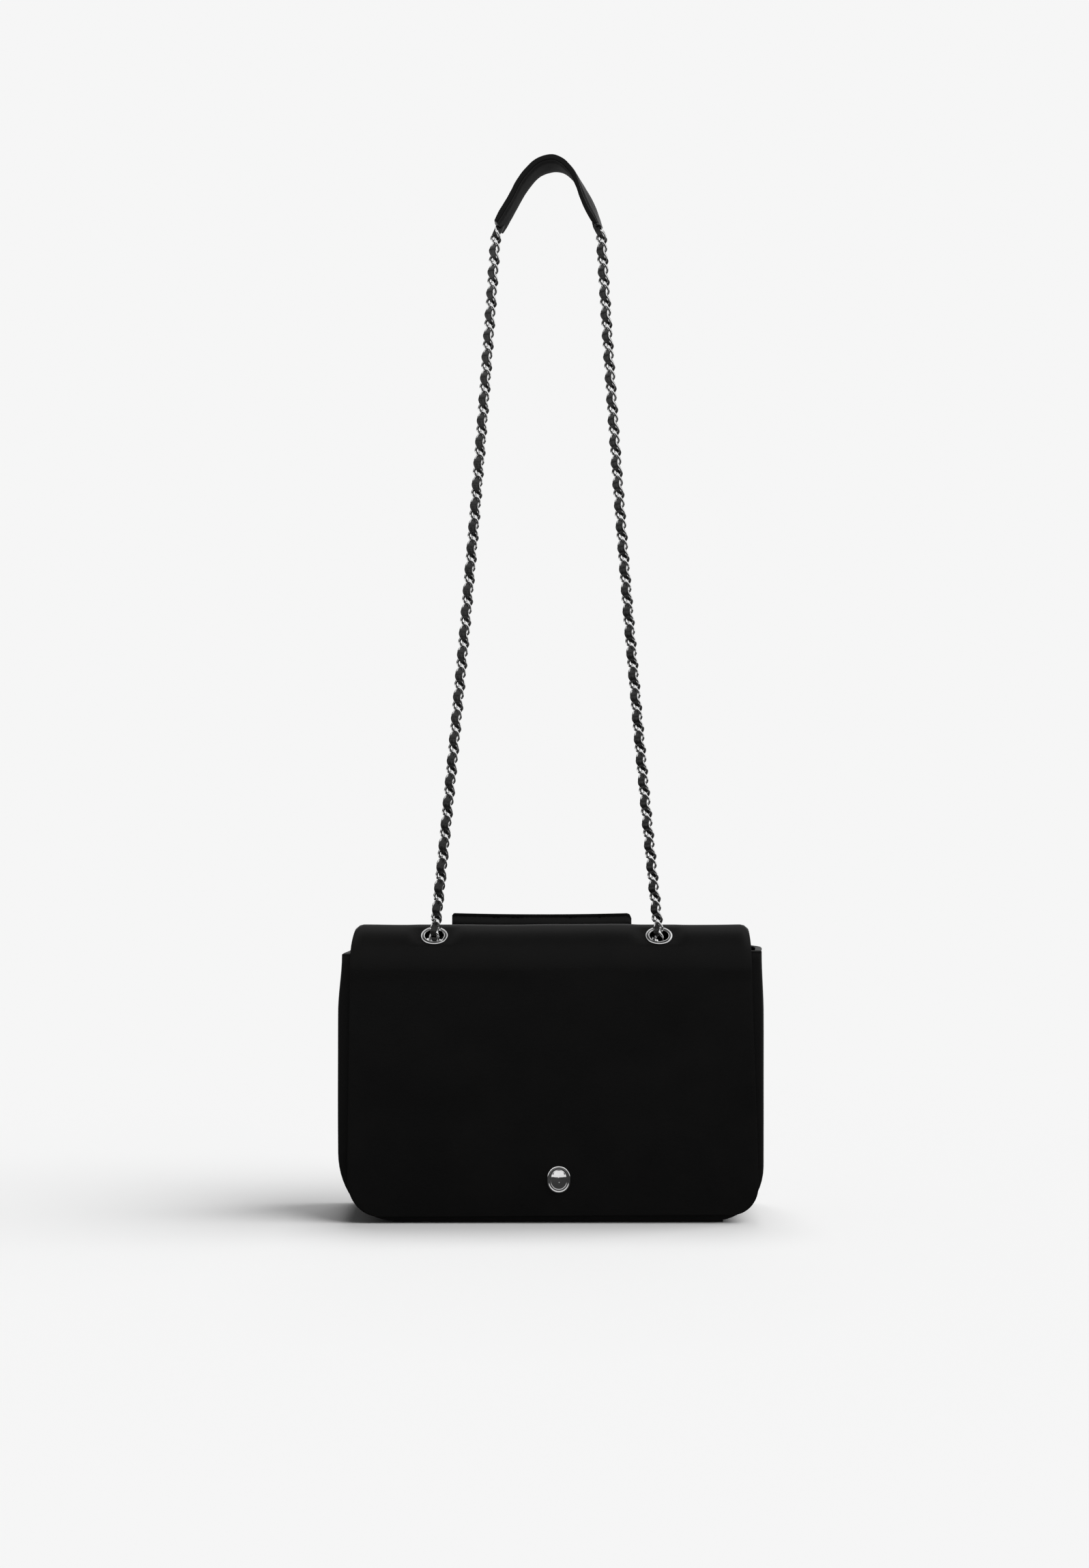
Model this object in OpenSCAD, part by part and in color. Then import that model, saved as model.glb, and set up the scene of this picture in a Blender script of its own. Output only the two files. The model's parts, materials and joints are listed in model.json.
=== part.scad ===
// Chain shoulder bag: a structured leather flap bag carried on a leather-laced chain.
// The chain runs through four eyelets. Its front strand is pulled out long and carries
// one shoulder pad high above the bag, and its short rear strand carries the second pad.
// The front faces -Y, and the origin is the middle of the base on the ground.

/* [Body] */
// Width of the body
body_w = 250; // [225:1:280]
// Depth of the body, outside the front and back panels
body_d = 76; // [68:1:96]
// Height of the front panel's top edge
mouth_h = 158; // [140:1:180]
// Radius of the body's lower corners, seen from the front
corner_r = 26; // [18:1:34]
// Thickness of a body panel
panel_t = 2; // [1.4:0.1:2.6]
// Thickness of the stiffening boards
board_t = 1.6; // [1:0.1:2.2]
// Thickness of the lining
lining_t = 0.8; // [0.5:0.1:1.2]
// Depth of the leather facing inside the mouth
facing_h = 24; // [16:1:36]
// Thickness of the leather facing
facing_t = 1.2; // [0.8:0.1:1.6]
// Width of the slip pocket on the back wall
pocket_w = 150; // [110:1:180]
// Height of the slip pocket
pocket_h = 85; // [60:1:105]

/* [Flap] */
// Height of the flap's front fold above the mouth
fold_rise = 16.4; // [14:0.2:22]
// Radius of the front fold
fold_r = 26; // [22:0.5:30]
// Fall of the flap's top from the front fold to the back, in degrees
top_fall = 7.3; // [5:0.1:9]
// Radius of the back panel where it folds over the top
back_fold_r = 20; // [18:0.5:23]
// Width of the flap at its fold
fold_w = 236; // [215:1:240]
// Width of the flap at its lower edge
flap_low_w = 242; // [220:1:246]
// Radius of the flap's lower corners
flap_corner_r = 24; // [12:1:34]
// Rounding of the fold's two ends, seen from the front
fold_end_r = 8; // [4:0.5:12]
// Height of the flap's lower edge above the ground
flap_low_z = 3; // [1:0.5:10]
// Room between the front panel and the flap
flap_room = 2.6; // [2.6:0.1:4]
// Thickness of the flap's leather
flap_leather_t = 1.4; // [1.1:0.1:1.8]
// Thickness of the flap's lining
flap_lining_t = 1; // [0.7:0.1:1.4]

/* [Eyelets] */
// Outside diameter of an eyelet's flange
eyelet_d = 16; // [15:0.1:17]
// Diameter of an eyelet's hole
eyelet_hole_d = 11; // [10.8:0.1:11.6]
// Wall of an eyelet's barrel
eyelet_wall = 0.6; // [0.4:0.1:0.8]
// Distance between the two eyelets of a pair
eyelet_span = 133; // [125:1:145]
// Tilt of the front eyelets from the vertical, towards the front
front_tilt = 36; // [33:1:39]
// Tilt of the back eyelets from the vertical, towards the back
back_tilt = 45; // [42:1:48]
// Thickness of an eyelet's washer
washer_t = 0.8; // [0.5:0.1:1]

/* [Chain] */
// Diameter of the chain's wire
wire_d = 1.7; // [1.5:0.05:1.8]
// Radius of a link's ends, to the middle of the wire
link_r = 2.8; // [2.6:0.05:2.9]
// Distance from one link to the next
link_pitch = 6.3; // [6.1:0.05:6.5]
// Play between two links that hook into each other
link_play = 0.12; // [0.1:0.01:0.2]
// The same play where the chain bends
bend_play = 0.35; // [0.3:0.01:0.4]
// Width of the leather lace woven through the chain
lace_w = 3.4; // [2.6:0.1:3.8]
// Thickness of the lace
lace_t = 1; // [0.8:0.1:1.2]
// How far the lace weaves to each side of the chain's middle
lace_sway = 1.9; // [1.7:0.05:2]
// How far the long legs bow inwards
leg_bow = 2.2; // [0:0.1:4]

/* [Shoulder pads] */
// Height of the strap's top above the ground
strap_top = 628.5; // [560:0.5:700]
// Width of a shoulder pad
pad_w = 25; // [20:0.5:28]
// Thickness of a shoulder pad
pad_t = 4; // [3.4:0.1:5]
// Bend of the long strand's pad at its top, to the middle of the pad
pad_bend_r = 13; // [10:0.5:16]
// Straight length of each half of that pad
pad_leg = 36.5; // [30:0.5:42]
// Lean of each half from the vertical
pad_lean = 31; // [28:1:34]
// Length of the rear strand's pad
rear_pad_l = 111; // [96:1:111]
// Rounding of the rear pad's corners
rear_pad_r = 6; // [3:0.5:9]

/* [Snap and ornament] */
// Height of the magnetic snap above the ground
snap_z = 52; // [46:1:80]
// Diameter of the snap
snap_d = 18; // [14:0.5:20]
// Height of the ornament's middle above the ground
ornament_z = 26; // [22:1:32]
// Width of the ornament
ornament_w = 13.6; // [11:0.1:16]
// Height of the ornament
ornament_h = 16; // [13:0.1:18]

/* [Hidden] */

// Running clearance between pieces that move past each other
clear = 0.3;
// Clearance between a shank and its hole
fit = 0.05;
// How far a cut runs past the surface it cuts
over = 1;
// How far the strap's middle lies to the wearer's right of the body's middle, and the rear strand's
strap_off = 2.5;
rear_off = 5.5;
// How far the ornament sits to the other side of it
ornament_off = 4.6;
// Gap of the flap's two bending lines beside their beads
fold_gap = 0.8;
// Angle on the fold, from the vertical, at which the front of the flap bends
leaf_a = 80;
// How far the fold is flattened beyond an eyelet's flange
flat_margin = 0.5;
// How far an eyelet's washer stays inside its flange
washer_inset = 0.5;
// Amount by which a lining stays inside its leather's edge
lining_inset = 2;
// How much narrower the back panel's fold is than the flap
band_inset = 2;
// Length of the lace that is sewn into a pad
lace_in = 14;
// Thickness of a pad's cover, and of its lining
pad_cover_t = 1.4;
pad_lining_t = 1;
// Steps of the pad's bend on each side of its top
pad_steps = 24;
// Amount by which a pad's foam stays inside its cover's long edges
foam_inset = 2;
// Height of the rear pad's middle above the back eyelets
rear_rise = 2.2;
// Thickness of the slip pocket's leather
pocket_t = 0.7;
// Height of the slip pocket's top below the facing
pocket_drop = 6;
// Snap: height of the socket on the panel and of the stud on the lining, and the shanks
snap_socket_t = 1.3;
snap_stud_t = 1;
snap_shank_r = 3;
snap_washer_t = 0.5;
snap_rim = 1.6;
// Ornament: base plate, rim, dome height, pins, and the washer on each pin
ornament_plate_t = 1;
ornament_rim = 1.3;
ornament_dome = 2.2;
pin_r = 0.6;
pin_gap_share = 0.5;
pin_washer_r = 1.8;
pin_washer_t = 0.4;

// Derived sizes
flap_t = flap_leather_t + flap_lining_t;
wire_r = wire_d / 2;
hole_r = eyelet_hole_d / 2;
barrel_r = hole_r + eyelet_wall;
flange_r = eyelet_d / 2;
flat_half = flange_r + flat_margin;
far = 4 * body_w;

panel_in_y = body_d / 2 - panel_t;
wall_in_x = body_w / 2 - panel_t;
fold_top = mouth_h + fold_rise;
fold_y = -(body_d / 2 + flap_room + flap_t) + fold_r;
fold_z = fold_top - fold_r;
front_eye = sqrt(pow(fold_r, 2) - pow(flat_half, 2));
hinge_y = body_d / 2 - back_fold_r;
top_len = (hinge_y - fold_y - (fold_r - flap_t / 2) * sin(top_fall)) / cos(top_fall);
hinge_z = fold_z + (fold_r - flap_t / 2) * cos(top_fall) - top_len * sin(top_fall);
back_y = hinge_y;
back_z = hinge_z + flap_t / 2 - back_fold_r;
back_eye = sqrt(pow(back_fold_r, 2) - pow(flat_half, 2));
bead_r = flap_t / 2;
// The angle on the fold at which the flap's top part ends, clear of the bead below it
top_end_a = leaf_a - (bead_r + fold_gap) / fold_r * 180 / PI;
facing_low_z = mouth_h - facing_h;
inner_z = panel_t + board_t;

// The long strand's pad, in its own upright plane: its bend's middle and its two ends
pad_arc = 90 - pad_lean;
pad_mid_z = strap_top - pad_t / 2 - pad_bend_r;
pad_end_x = pad_bend_r * sin(pad_arc) + pad_leg * sin(pad_lean);
pad_end_z = pad_mid_z + pad_bend_r * cos(pad_arc) - pad_leg * cos(pad_lean);

// The two pivots of the strap, at the middles of its eyelets
front_pivot = [fold_y - front_eye * sin(front_tilt), fold_z + front_eye * cos(front_tilt)];
back_pivot = [back_y + back_eye * sin(back_tilt), back_z + back_eye * cos(back_tilt)];

// A leg of the long strand: its lean, its count of links, and the pitch that fills it
leg_dx = eyelet_span / 2 - pad_end_x;
leg_dz = pad_end_z - front_pivot[1];
leg_l = sqrt(pow(leg_dx, 2) + pow(leg_dz, 2));
leg_lean = atan2(leg_dx, leg_dz);
leg_room = leg_l - clear - wire_r - (wire_d + link_play) / 2;
leg_links = round(leg_room / link_pitch + 0.5);
leg_pitch = leg_room / (leg_links - 0.5);
link_half = (link_pitch + wire_d + link_play) / 2 + wire_r;

// Colours
LEATHER = "#1c1c1e";
LINING = "#3a3634";
METAL = "silver";
BOARD = "#8a7f70";
FOAM = "#5a5a5c";

// An outline seen from the side, (y, z), drawn out along X about the middle
module along_x(w) rotate([90, 0, 90]) translate([0, 0, -w / 2]) linear_extrude(height = w) children();

// An outline seen from the front, (x, z), drawn out from y0 to y1
module along_y(y0, y1) translate([0, y1, 0]) rotate([90, 0, 0]) linear_extrude(height = y1 - y0) children();

// An upright plate with round lower corners and a straight top
module round_base(w, z0, z1, r) {
  translate([-w / 2, z0 + r]) square([w, z1 - z0 - r]);
  translate([-w / 2 + r, z0]) square([w - 2 * r, r + (z1 - z0 - r) / 2]);
  for (s = [-1, 1]) translate([s * (w / 2 - r), z0 + r]) circle(r = r, $fn = 96);
}

module round_rect(w, h, r) {
  square([w - 2 * r, h], center = true);
  square([w, h - 2 * r], center = true);
  for (s = [-1, 1], t = [-1, 1]) translate([s * (w / 2 - r), t * (h / 2 - r)]) circle(r = r, $fn = 64);
}

// The half of the plane on one side of a line through the origin, at an angle from the vertical
module half_plane(a, side) rotate(a) translate([side > 0 ? 0 : -far, -far]) square([far, 2 * far]);

// A fold's side view down to a depth below its outside, flattened where the eyelets sit
module fold_disc(r, eye, tilt, depth) intersection() {
  circle(r = r - depth, $fn = 192);
  rotate(tilt) translate([-far / 2, eye - depth - far]) square([far, far]);
}
module front_layer(d0, d1, a0, a1) translate([fold_y, fold_z]) intersection() {
  difference() {
    fold_disc(fold_r, front_eye, front_tilt, d0);
    fold_disc(fold_r, front_eye, front_tilt, d1);
  }
  half_plane(a0, -1);
  half_plane(a1, 1);
}
module back_layer(d0, d1) translate([back_y, back_z]) intersection() {
  difference() {
    fold_disc(back_fold_r, back_eye, -back_tilt, d0);
    fold_disc(back_fold_r, back_eye, -back_tilt, d1);
  }
  translate([bead_r + fold_gap, 0]) square([2 * back_fold_r, 2 * back_fold_r]);
}

// Places for the four eyelets, with +Z out of the leather
module at_front_eye(s) translate([s * eyelet_span / 2 - strap_off, front_pivot[0], front_pivot[1]])
  rotate([front_tilt, 0, 0]) children();
module at_back_eye(s) translate([s * eyelet_span / 2 - rear_off, back_pivot[0], back_pivot[1]])
  rotate([-back_tilt, 0, 0]) children();
module eye_bore(depth) translate([0, 0, -depth - over]) cylinder(r = barrel_r + fit, h = depth + 2 * over, $fn = 64);

module eyelet(depth) color(METAL) rotate_extrude($fn = 96) {
  intersection() {
    translate([(hole_r + flange_r) / 2, 0]) circle(r = (flange_r - hole_r) / 2, $fn = 48);
    square([flange_r, flange_r]);
  }
  translate([hole_r, -depth - washer_t]) square([eyelet_wall, depth + washer_t]);
}
module eyelet_washer(depth) color(METAL) translate([0, 0, -depth - washer_t]) difference() {
  cylinder(r = flange_r - washer_inset, h = washer_t - fit, $fn = 96);
  translate([0, 0, -over]) cylinder(r = barrel_r + fit, h = washer_t + 2 * over, $fn = 64);
}

// One link, standing along Z: two straight sides and two half-round ends
module link(pitch, play, turn) {
  straight = (pitch + wire_d + play) / 2 - link_r;
  rotate([0, 0, turn]) for (m = [0, 1]) mirror([0, 0, m]) {
    for (s = [-1, 1]) translate([s * link_r, 0, 0]) cylinder(r = wire_r, h = straight, $fn = 24);
    translate([0, 0, straight]) rotate([90, 0, 0])
      rotate_extrude(angle = 180, $fn = 32) translate([link_r, 0]) circle(r = wire_r, $fn = 24);
  }
}
function link_turn(i) = i % 2 == 0 ? 45 : -45;
// A unit vector from its bearing, counted from +X, and its rise
function heading(bearing, rise) = [cos(rise) * cos(bearing), cos(rise) * sin(bearing), sin(rise)];
// Where the next link of a bent run hooks in, with the first link's middle at start
function hook(start, headings, i) = i == 0 ? start - link_pitch / 2 * heading(headings[0][0], headings[0][1])
  : hook(start, headings, i - 1) + link_pitch * heading(headings[i - 1][0], headings[i - 1][1]);
// A bent run of links, one for each heading, which is a bearing and a rise
module bent_run(start, headings) for (i = [0:len(headings) - 1])
  translate((hook(start, headings, i) + hook(start, headings, i + 1)) / 2)
    rotate([0, 90 - headings[i][1], headings[i][0]]) link(link_pitch, bend_play, link_turn(i));

// A flat strap through four-cornered rings
module ribbon(rings) {
  n = len(rings);
  polyhedron(points = [for (ring = rings) for (p = ring) p],
    faces = concat([[0, 1, 2], [0, 2, 3]],
      [for (i = [0:n - 2]) for (j = [0:3]) [4 * i + 4 + j, 4 * i + 4 + (j + 1) % 4, 4 * i + j]],
      [for (i = [0:n - 2]) for (j = [0:3]) [4 * i + 4 + (j + 1) % 4, 4 * i + (j + 1) % 4, 4 * i + j]],
      [[4 * n - 2, 4 * n - 3, 4 * n - 4], [4 * n - 1, 4 * n - 2, 4 * n - 4]]));
}
function ring(c, wide, thick) = [c - wide - thick, c + wide - thick, c + wide + thick, c - wide + thick];

// Body
module front_panel() color(LEATHER) difference() {
  along_y(-body_d / 2, -panel_in_y) round_base(body_w, 0, mouth_h, corner_r);
  snap_bore(snap_shank_r);
}
module back_panel() color(LEATHER) difference() {
  union() {
    along_y(panel_in_y, body_d / 2) round_base(body_w, 0, back_z, corner_r);
    along_x(fold_w - 2 * band_inset) back_layer(0, panel_t);
  }
  for (s = [-1, 1]) at_back_eye(s) eye_bore(panel_t + facing_t);
}
// The gusset's side view: upright, and cut back below the back panel's fold
module gusset_side(z0, z1, wall) intersection() {
  translate([-panel_in_y, z0]) square([2 * panel_in_y, z1 - z0]);
  union() {
    translate([-body_d / 2, 0]) square([body_d / 2 + back_y, 2 * mouth_h]);
    translate([-body_d / 2, 0]) square([body_d, back_z]);
    translate([back_y, back_z]) circle(r = back_fold_r - wall, $fn = 192);
  }
}
module gusset(s) color(LEATHER) translate([s * (body_w - panel_t) / 2, 0, 0])
  along_x(panel_t) gusset_side(corner_r, mouth_h, panel_t);
module base_panel() color(LEATHER) along_y(-panel_in_y, panel_in_y) intersection() {
  difference() {
    round_base(body_w, 0, mouth_h, corner_r);
    round_base(body_w - 2 * panel_t, panel_t, mouth_h + over, corner_r - panel_t);
  }
  translate([-body_w / 2, 0]) square([body_w, corner_r]);
}
module base_board() color(BOARD) translate([0, 0, panel_t + board_t / 2])
  cube([body_w - 2 * corner_r, 2 * (panel_in_y - board_t), board_t], center = true);
module wall_board(y0, y1) color(BOARD) along_y(y0, y1)
  round_base(body_w - 2 * inner_z, inner_z, facing_low_z, corner_r - inner_z);
module front_board() difference() {
  wall_board(-panel_in_y, -panel_in_y + board_t);
  snap_bore(snap_d / 2);
}
module back_board() wall_board(panel_in_y - board_t, panel_in_y);
module lining() color(LINING) difference() {
  lining_y = panel_in_y - board_t;
  along_y(-lining_y, lining_y) round_base(body_w - 2 * inner_z, inner_z, facing_low_z, corner_r - inner_z);
  along_y(-lining_y + lining_t, lining_y - lining_t)
    round_base(body_w - 2 * (inner_z + lining_t), inner_z + lining_t, mouth_h, corner_r - inner_z - lining_t);
}
module mouth_facing() color(LEATHER) {
  along_y(-panel_in_y, -panel_in_y + facing_t)
    translate([-wall_in_x, facing_low_z]) square([2 * wall_in_x, facing_h]);
  for (s = [-1, 1]) translate([s * (wall_in_x - facing_t / 2), 0, 0]) along_x(facing_t)
    gusset_side(facing_low_z, mouth_h, panel_t + facing_t);
}
module back_facing() color(LEATHER) difference() {
  union() {
    along_y(panel_in_y - facing_t, panel_in_y)
      translate([-wall_in_x + facing_t, facing_low_z]) square([2 * (wall_in_x - facing_t), back_z - facing_low_z]);
    along_x(fold_w - 2 * (band_inset + lining_inset)) back_layer(panel_t, panel_t + facing_t);
  }
  for (s = [-1, 1]) at_back_eye(s) eye_bore(panel_t + facing_t);
}
module slip_pocket() color(LEATHER) {
  pocket_y = panel_in_y - board_t - lining_t;
  along_y(pocket_y - pocket_t, pocket_y)
    translate([0, facing_low_z - pocket_drop - pocket_h / 2]) round_rect(pocket_w, pocket_h, rear_pad_r);
}

// Magnetic snap
module at_snap(y) translate([0, y, snap_z]) rotate([90, 0, 0]) children();
module snap_bore(r) at_snap(0) cylinder(r = r + fit, h = body_d, $fn = 64);
module snap_socket() color(METAL) at_snap(-body_d / 2) {
  difference() {
    cylinder(r = snap_d / 2, h = snap_socket_t, $fn = 96);
    translate([0, 0, snap_socket_t / 2]) cylinder(r = snap_d / 2 - snap_rim, h = snap_socket_t, $fn = 96);
  }
  translate([0, 0, -panel_t]) cylinder(r = snap_shank_r, h = panel_t + snap_socket_t / 2, $fn = 48);
}
module snap_socket_washer() color(METAL) at_snap(-panel_in_y) translate([0, 0, -snap_washer_t])
  cylinder(r = snap_d / 2 - snap_rim, h = snap_washer_t, $fn = 96);
leaf_in_y = -body_d / 2 - flap_room;
module snap_stud() color(METAL) at_snap(leaf_in_y) {
  translate([0, 0, -snap_stud_t]) cylinder(r = snap_d / 2 - snap_rim, h = snap_stud_t, $fn = 96);
  translate([0, 0, -fit]) cylinder(r = snap_shank_r, h = flap_lining_t + fit, $fn = 48);
}
module snap_stud_washer() color(METAL) at_snap(leaf_in_y - flap_lining_t)
  cylinder(r = snap_d / 2 - snap_rim, h = snap_washer_t, $fn = 96);

// Flap, top part
module fold_front_view() {
  translate([0, -far / 2 + fold_top - fold_end_r]) square([fold_w, far], center = true);
  square_h = 2 * fold_end_r;
  translate([0, fold_top - square_h / 2]) square([fold_w - 2 * fold_end_r, square_h], center = true);
  for (s = [-1, 1]) translate([s * (fold_w / 2 - fold_end_r), fold_top - fold_end_r])
    circle(r = fold_end_r, $fn = 96);
}
module top_straight(d0, d1, short) translate([fold_y, fold_z]) rotate(-top_fall)
  translate([0, fold_r - d1]) square([top_len - short, d1 - d0]);
module front_fold(d0, d1, short) {
  front_layer(d0, d1, -top_fall, top_end_a);
  top_straight(d0, d1, short);
}
module flap_top_leather() color(LEATHER) difference() {
  intersection() {
    along_x(fold_w) {
      front_fold(0, flap_leather_t, 0);
      translate([hinge_y, hinge_z]) circle(r = bead_r, $fn = 48);
    }
    along_y(-far, far) fold_front_view();
  }
  for (s = [-1, 1]) at_front_eye(s) eye_bore(flap_t);
}
module flap_top_lining() color(LINING) difference() {
  intersection() {
    along_x(fold_w - 2 * lining_inset) front_fold(flap_leather_t, flap_t, bead_r + clear);
    along_y(-far, far) fold_front_view();
  }
  for (s = [-1, 1]) at_front_eye(s) eye_bore(flap_t);
}
// The chain inside the bag, below the front eyelets and in front of the back ones
inner_front_headings = [[90, -72], [90, -44], [90, -16], [90, 2], [90, 6], [90, 8]];
inner_back_headings = [[270, -back_tilt], [270, -back_tilt + 30]];
inner_gap = link_half + (link_pitch + wire_d + bend_play) / 2 + wire_r + clear;
module inner_run(pivot, headings, off) color(METAL)
  for (s = [-1, 1]) translate([s * eyelet_span / 2 - off, pivot[0], pivot[1]])
    bent_run(inner_gap * heading(headings[0][0], headings[0][1]), headings);

// Flap, front part
module leaf_outline(inset) {
  low = flap_low_z + inset;
  r = flap_corner_r - inset;
  low_w = flap_low_w - 2 * inset;
  top_w = fold_w - 2 * inset;
  polygon([[-top_w / 2, fold_z], [-low_w / 2, low + r], [low_w / 2, low + r], [top_w / 2, fold_z]]);
  translate([-low_w / 2 + r, low]) square([low_w - 2 * r, 2 * r]);
  for (s = [-1, 1]) translate([s * (low_w / 2 - r), low + r]) circle(r = r, $fn = 96);
}
module leaf_layer(d0, d1, inset) {
  y0 = -body_d / 2 - flap_room - flap_t;
  along_y(y0 + d0, y0 + d1) leaf_outline(inset);
  along_x(fold_w - 2 * inset) front_layer(d0, d1, leaf_a, 90);
}
module flap_front_leather() color(LEATHER) difference() {
  union() {
    leaf_layer(0, flap_leather_t, 0);
    along_x(fold_w) translate([fold_y, fold_z]) rotate(leaf_a)
      translate([0, fold_r - bead_r]) circle(r = bead_r, $fn = 48);
  }
  at_snap(leaf_in_y - flap_lining_t + over) cylinder(r = snap_d / 2, h = snap_washer_t + over, $fn = 96);
  at_ornament_pins() cylinder(r = pin_r + fit, h = far, $fn = 32);
  at_ornament_pins() translate([0, 0, far / 2 - flap_leather_t - over])
    cylinder(r = pin_washer_r + fit, h = pin_washer_t + over + fit, $fn = 48);
}
module flap_front_lining() color(LINING) difference() {
  leaf_layer(flap_leather_t, flap_t, lining_inset);
  along_x(fold_w) translate([fold_y, fold_z]) rotate(leaf_a)
    translate([0, fold_r - bead_r]) circle(r = bead_r + fit, $fn = 48);
  at_snap(leaf_in_y + over) cylinder(r = snap_shank_r + fit, h = flap_t + over, $fn = 64);
}

// Ornament: a plain oval stud with a rim and a domed middle
leaf_out_y = leaf_in_y - flap_t;
module at_ornament(y) translate([ornament_off, y, ornament_z]) rotate([90, 0, 0]) children();
module at_ornament_pins() for (s = [-1, 1]) translate([0, 0, s * ornament_h * pin_gap_share / 2])
  at_ornament(leaf_out_y) translate([0, 0, -far / 2]) children();
// Half of the stud's cross-section, out from its middle line
module ornament_section() {
  half = ornament_w / 2;
  dome_w = half - 1.5 * ornament_rim;
  dome_r = (pow(dome_w, 2) + pow(ornament_dome, 2)) / (2 * ornament_dome);
  square([half - ornament_rim / 2, ornament_plate_t]);
  translate([half - ornament_rim, 0]) square([ornament_rim, ornament_plate_t]);
  translate([half - ornament_rim / 2, ornament_plate_t]) circle(r = ornament_rim / 2, $fn = 32);
  intersection() {
    translate([0, ornament_plate_t + ornament_dome - dome_r]) circle(r = dome_r, $fn = 96);
    square([dome_w, ornament_plate_t + ornament_dome]);
  }
}
module ornament() color(METAL) {
  stretch = (ornament_h - ornament_w) / 2;
  at_ornament(leaf_out_y) for (s = [-1, 1]) mirror([0, s < 0 ? 1 : 0, 0]) {
    translate([0, stretch, 0]) rotate_extrude(angle = 180, $fn = 96) ornament_section();
    for (m = [0, 1]) mirror([m, 0, 0]) translate([0, stretch, 0]) rotate([90, 0, 0])
      linear_extrude(height = stretch) ornament_section();
  }
  for (s = [-1, 1]) translate([0, 0, s * ornament_h * pin_gap_share / 2]) at_ornament(leaf_out_y)
    translate([0, 0, -flap_leather_t]) cylinder(r = pin_r, h = flap_leather_t + ornament_plate_t / 2, $fn = 32);
}
module ornament_washers() color(METAL) for (s = [-1, 1])
  translate([0, 0, s * ornament_h * pin_gap_share / 2]) at_ornament(leaf_out_y)
    translate([0, 0, -flap_leather_t]) difference() {
      cylinder(r = pin_washer_r, h = pin_washer_t, $fn = 48);
      translate([0, 0, -over]) cylinder(r = pin_r + fit, h = pin_washer_t + 2 * over, $fn = 32);
    }

// Long strand
function leg_x(s, u) = s * (eyelet_span / 2 - leg_dx * u / leg_l - 4 * leg_bow * (u / leg_l) * (1 - u / leg_l)) - strap_off;
function leg_place(s, u) = [leg_x(s, u), front_pivot[0], front_pivot[1] + u * cos(leg_lean)];
function leg_turn(s, u) = -s * (leg_lean + atan(4 * leg_bow * (1 - 2 * u / leg_l) / leg_l));
module chain(s) color(METAL) for (i = [0:leg_links - 1])
  translate(leg_place(s, i * leg_pitch)) rotate([0, leg_turn(s, i * leg_pitch), 0])
    link(leg_pitch, link_play, -s * link_turn(i));
// The lace crosses to the other side of the chain at every link
module lace(s) color(LEATHER) {
  steps = 2 * leg_links - 2;
  start = -link_half / 2;
  wide = [lace_w / 2, 0, 0];
  thick = [0, lace_t / 2, 0];
  pad_along = [s * sin(pad_lean), 0, -cos(pad_lean)];
  pad_out = [s * cos(pad_lean), 0, sin(pad_lean)];
  pad_end = [s * pad_end_x - strap_off, front_pivot[0], pad_end_z];
  foam_mid = (pad_lining_t - pad_cover_t) / 2 * pad_out;
  ribbon(concat([ring(leg_place(s, start), wide, thick)],
    [for (k = [0:steps]) ring(leg_place(s, k * leg_pitch / 2) + [0, lace_sway * sin(90 * k), 0], wide, thick)],
    [for (d = [0, -lace_in]) ring(pad_end + foam_mid + d * pad_along, [0, s * lace_w / 2, 0], -pad_out * lace_t / 2)]));
}
// A line along the pad, seen from the front, at an offset out of its middle and short of its ends
function pad_line(offset, short) = let (r = pad_bend_r + offset, leg = pad_leg - short,
    leg_end = [r * sin(pad_arc) + leg * cos(pad_arc), r * cos(pad_arc) - leg * sin(pad_arc)])
  concat([[-leg_end[0], leg_end[1]]], [for (i = [-pad_steps:pad_steps]) r * [sin(pad_arc * i / pad_steps),
    cos(pad_arc * i / pad_steps)]], [leg_end]);
module pad_view(t0, t1, short) {
  low = pad_line(t0, short);
  translate([0, pad_mid_z]) polygon(concat(pad_line(t1, short), [for (i = [len(low) - 1:-1:0]) low[i]]));
}
module pad_layer(t0, t1, w, short) translate([-strap_off, front_pivot[0], 0])
  along_y(-w / 2, w / 2) pad_view(t0, t1, short);
module pad_cover() color(LEATHER) pad_layer(pad_t / 2 - pad_cover_t, pad_t / 2, pad_w, 0);
module pad_foam() color(FOAM)
  pad_layer(pad_lining_t - pad_t / 2, pad_t / 2 - pad_cover_t, pad_w - 2 * foam_inset, lace_in + clear);
module pad_lining() color(LEATHER) pad_layer(-pad_t / 2, pad_lining_t - pad_t / 2, pad_w, 0);

// Rear strand: three links and a lace on each side, and its pad flat against the back
rear_in_y = body_d / 2 + clear;
rear_pad_z = back_pivot[1] + rear_rise;
rear_start = [eyelet_span / 2, back_pivot[0], back_pivot[1]];
rear_headings = [[96, 32], [120, 20], [144, 8]];
module rear_chain() color(METAL) translate([-rear_off, 0, 0]) for (m = [0, 1]) mirror([m, 0, 0])
  bent_run(rear_start, rear_headings);
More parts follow.
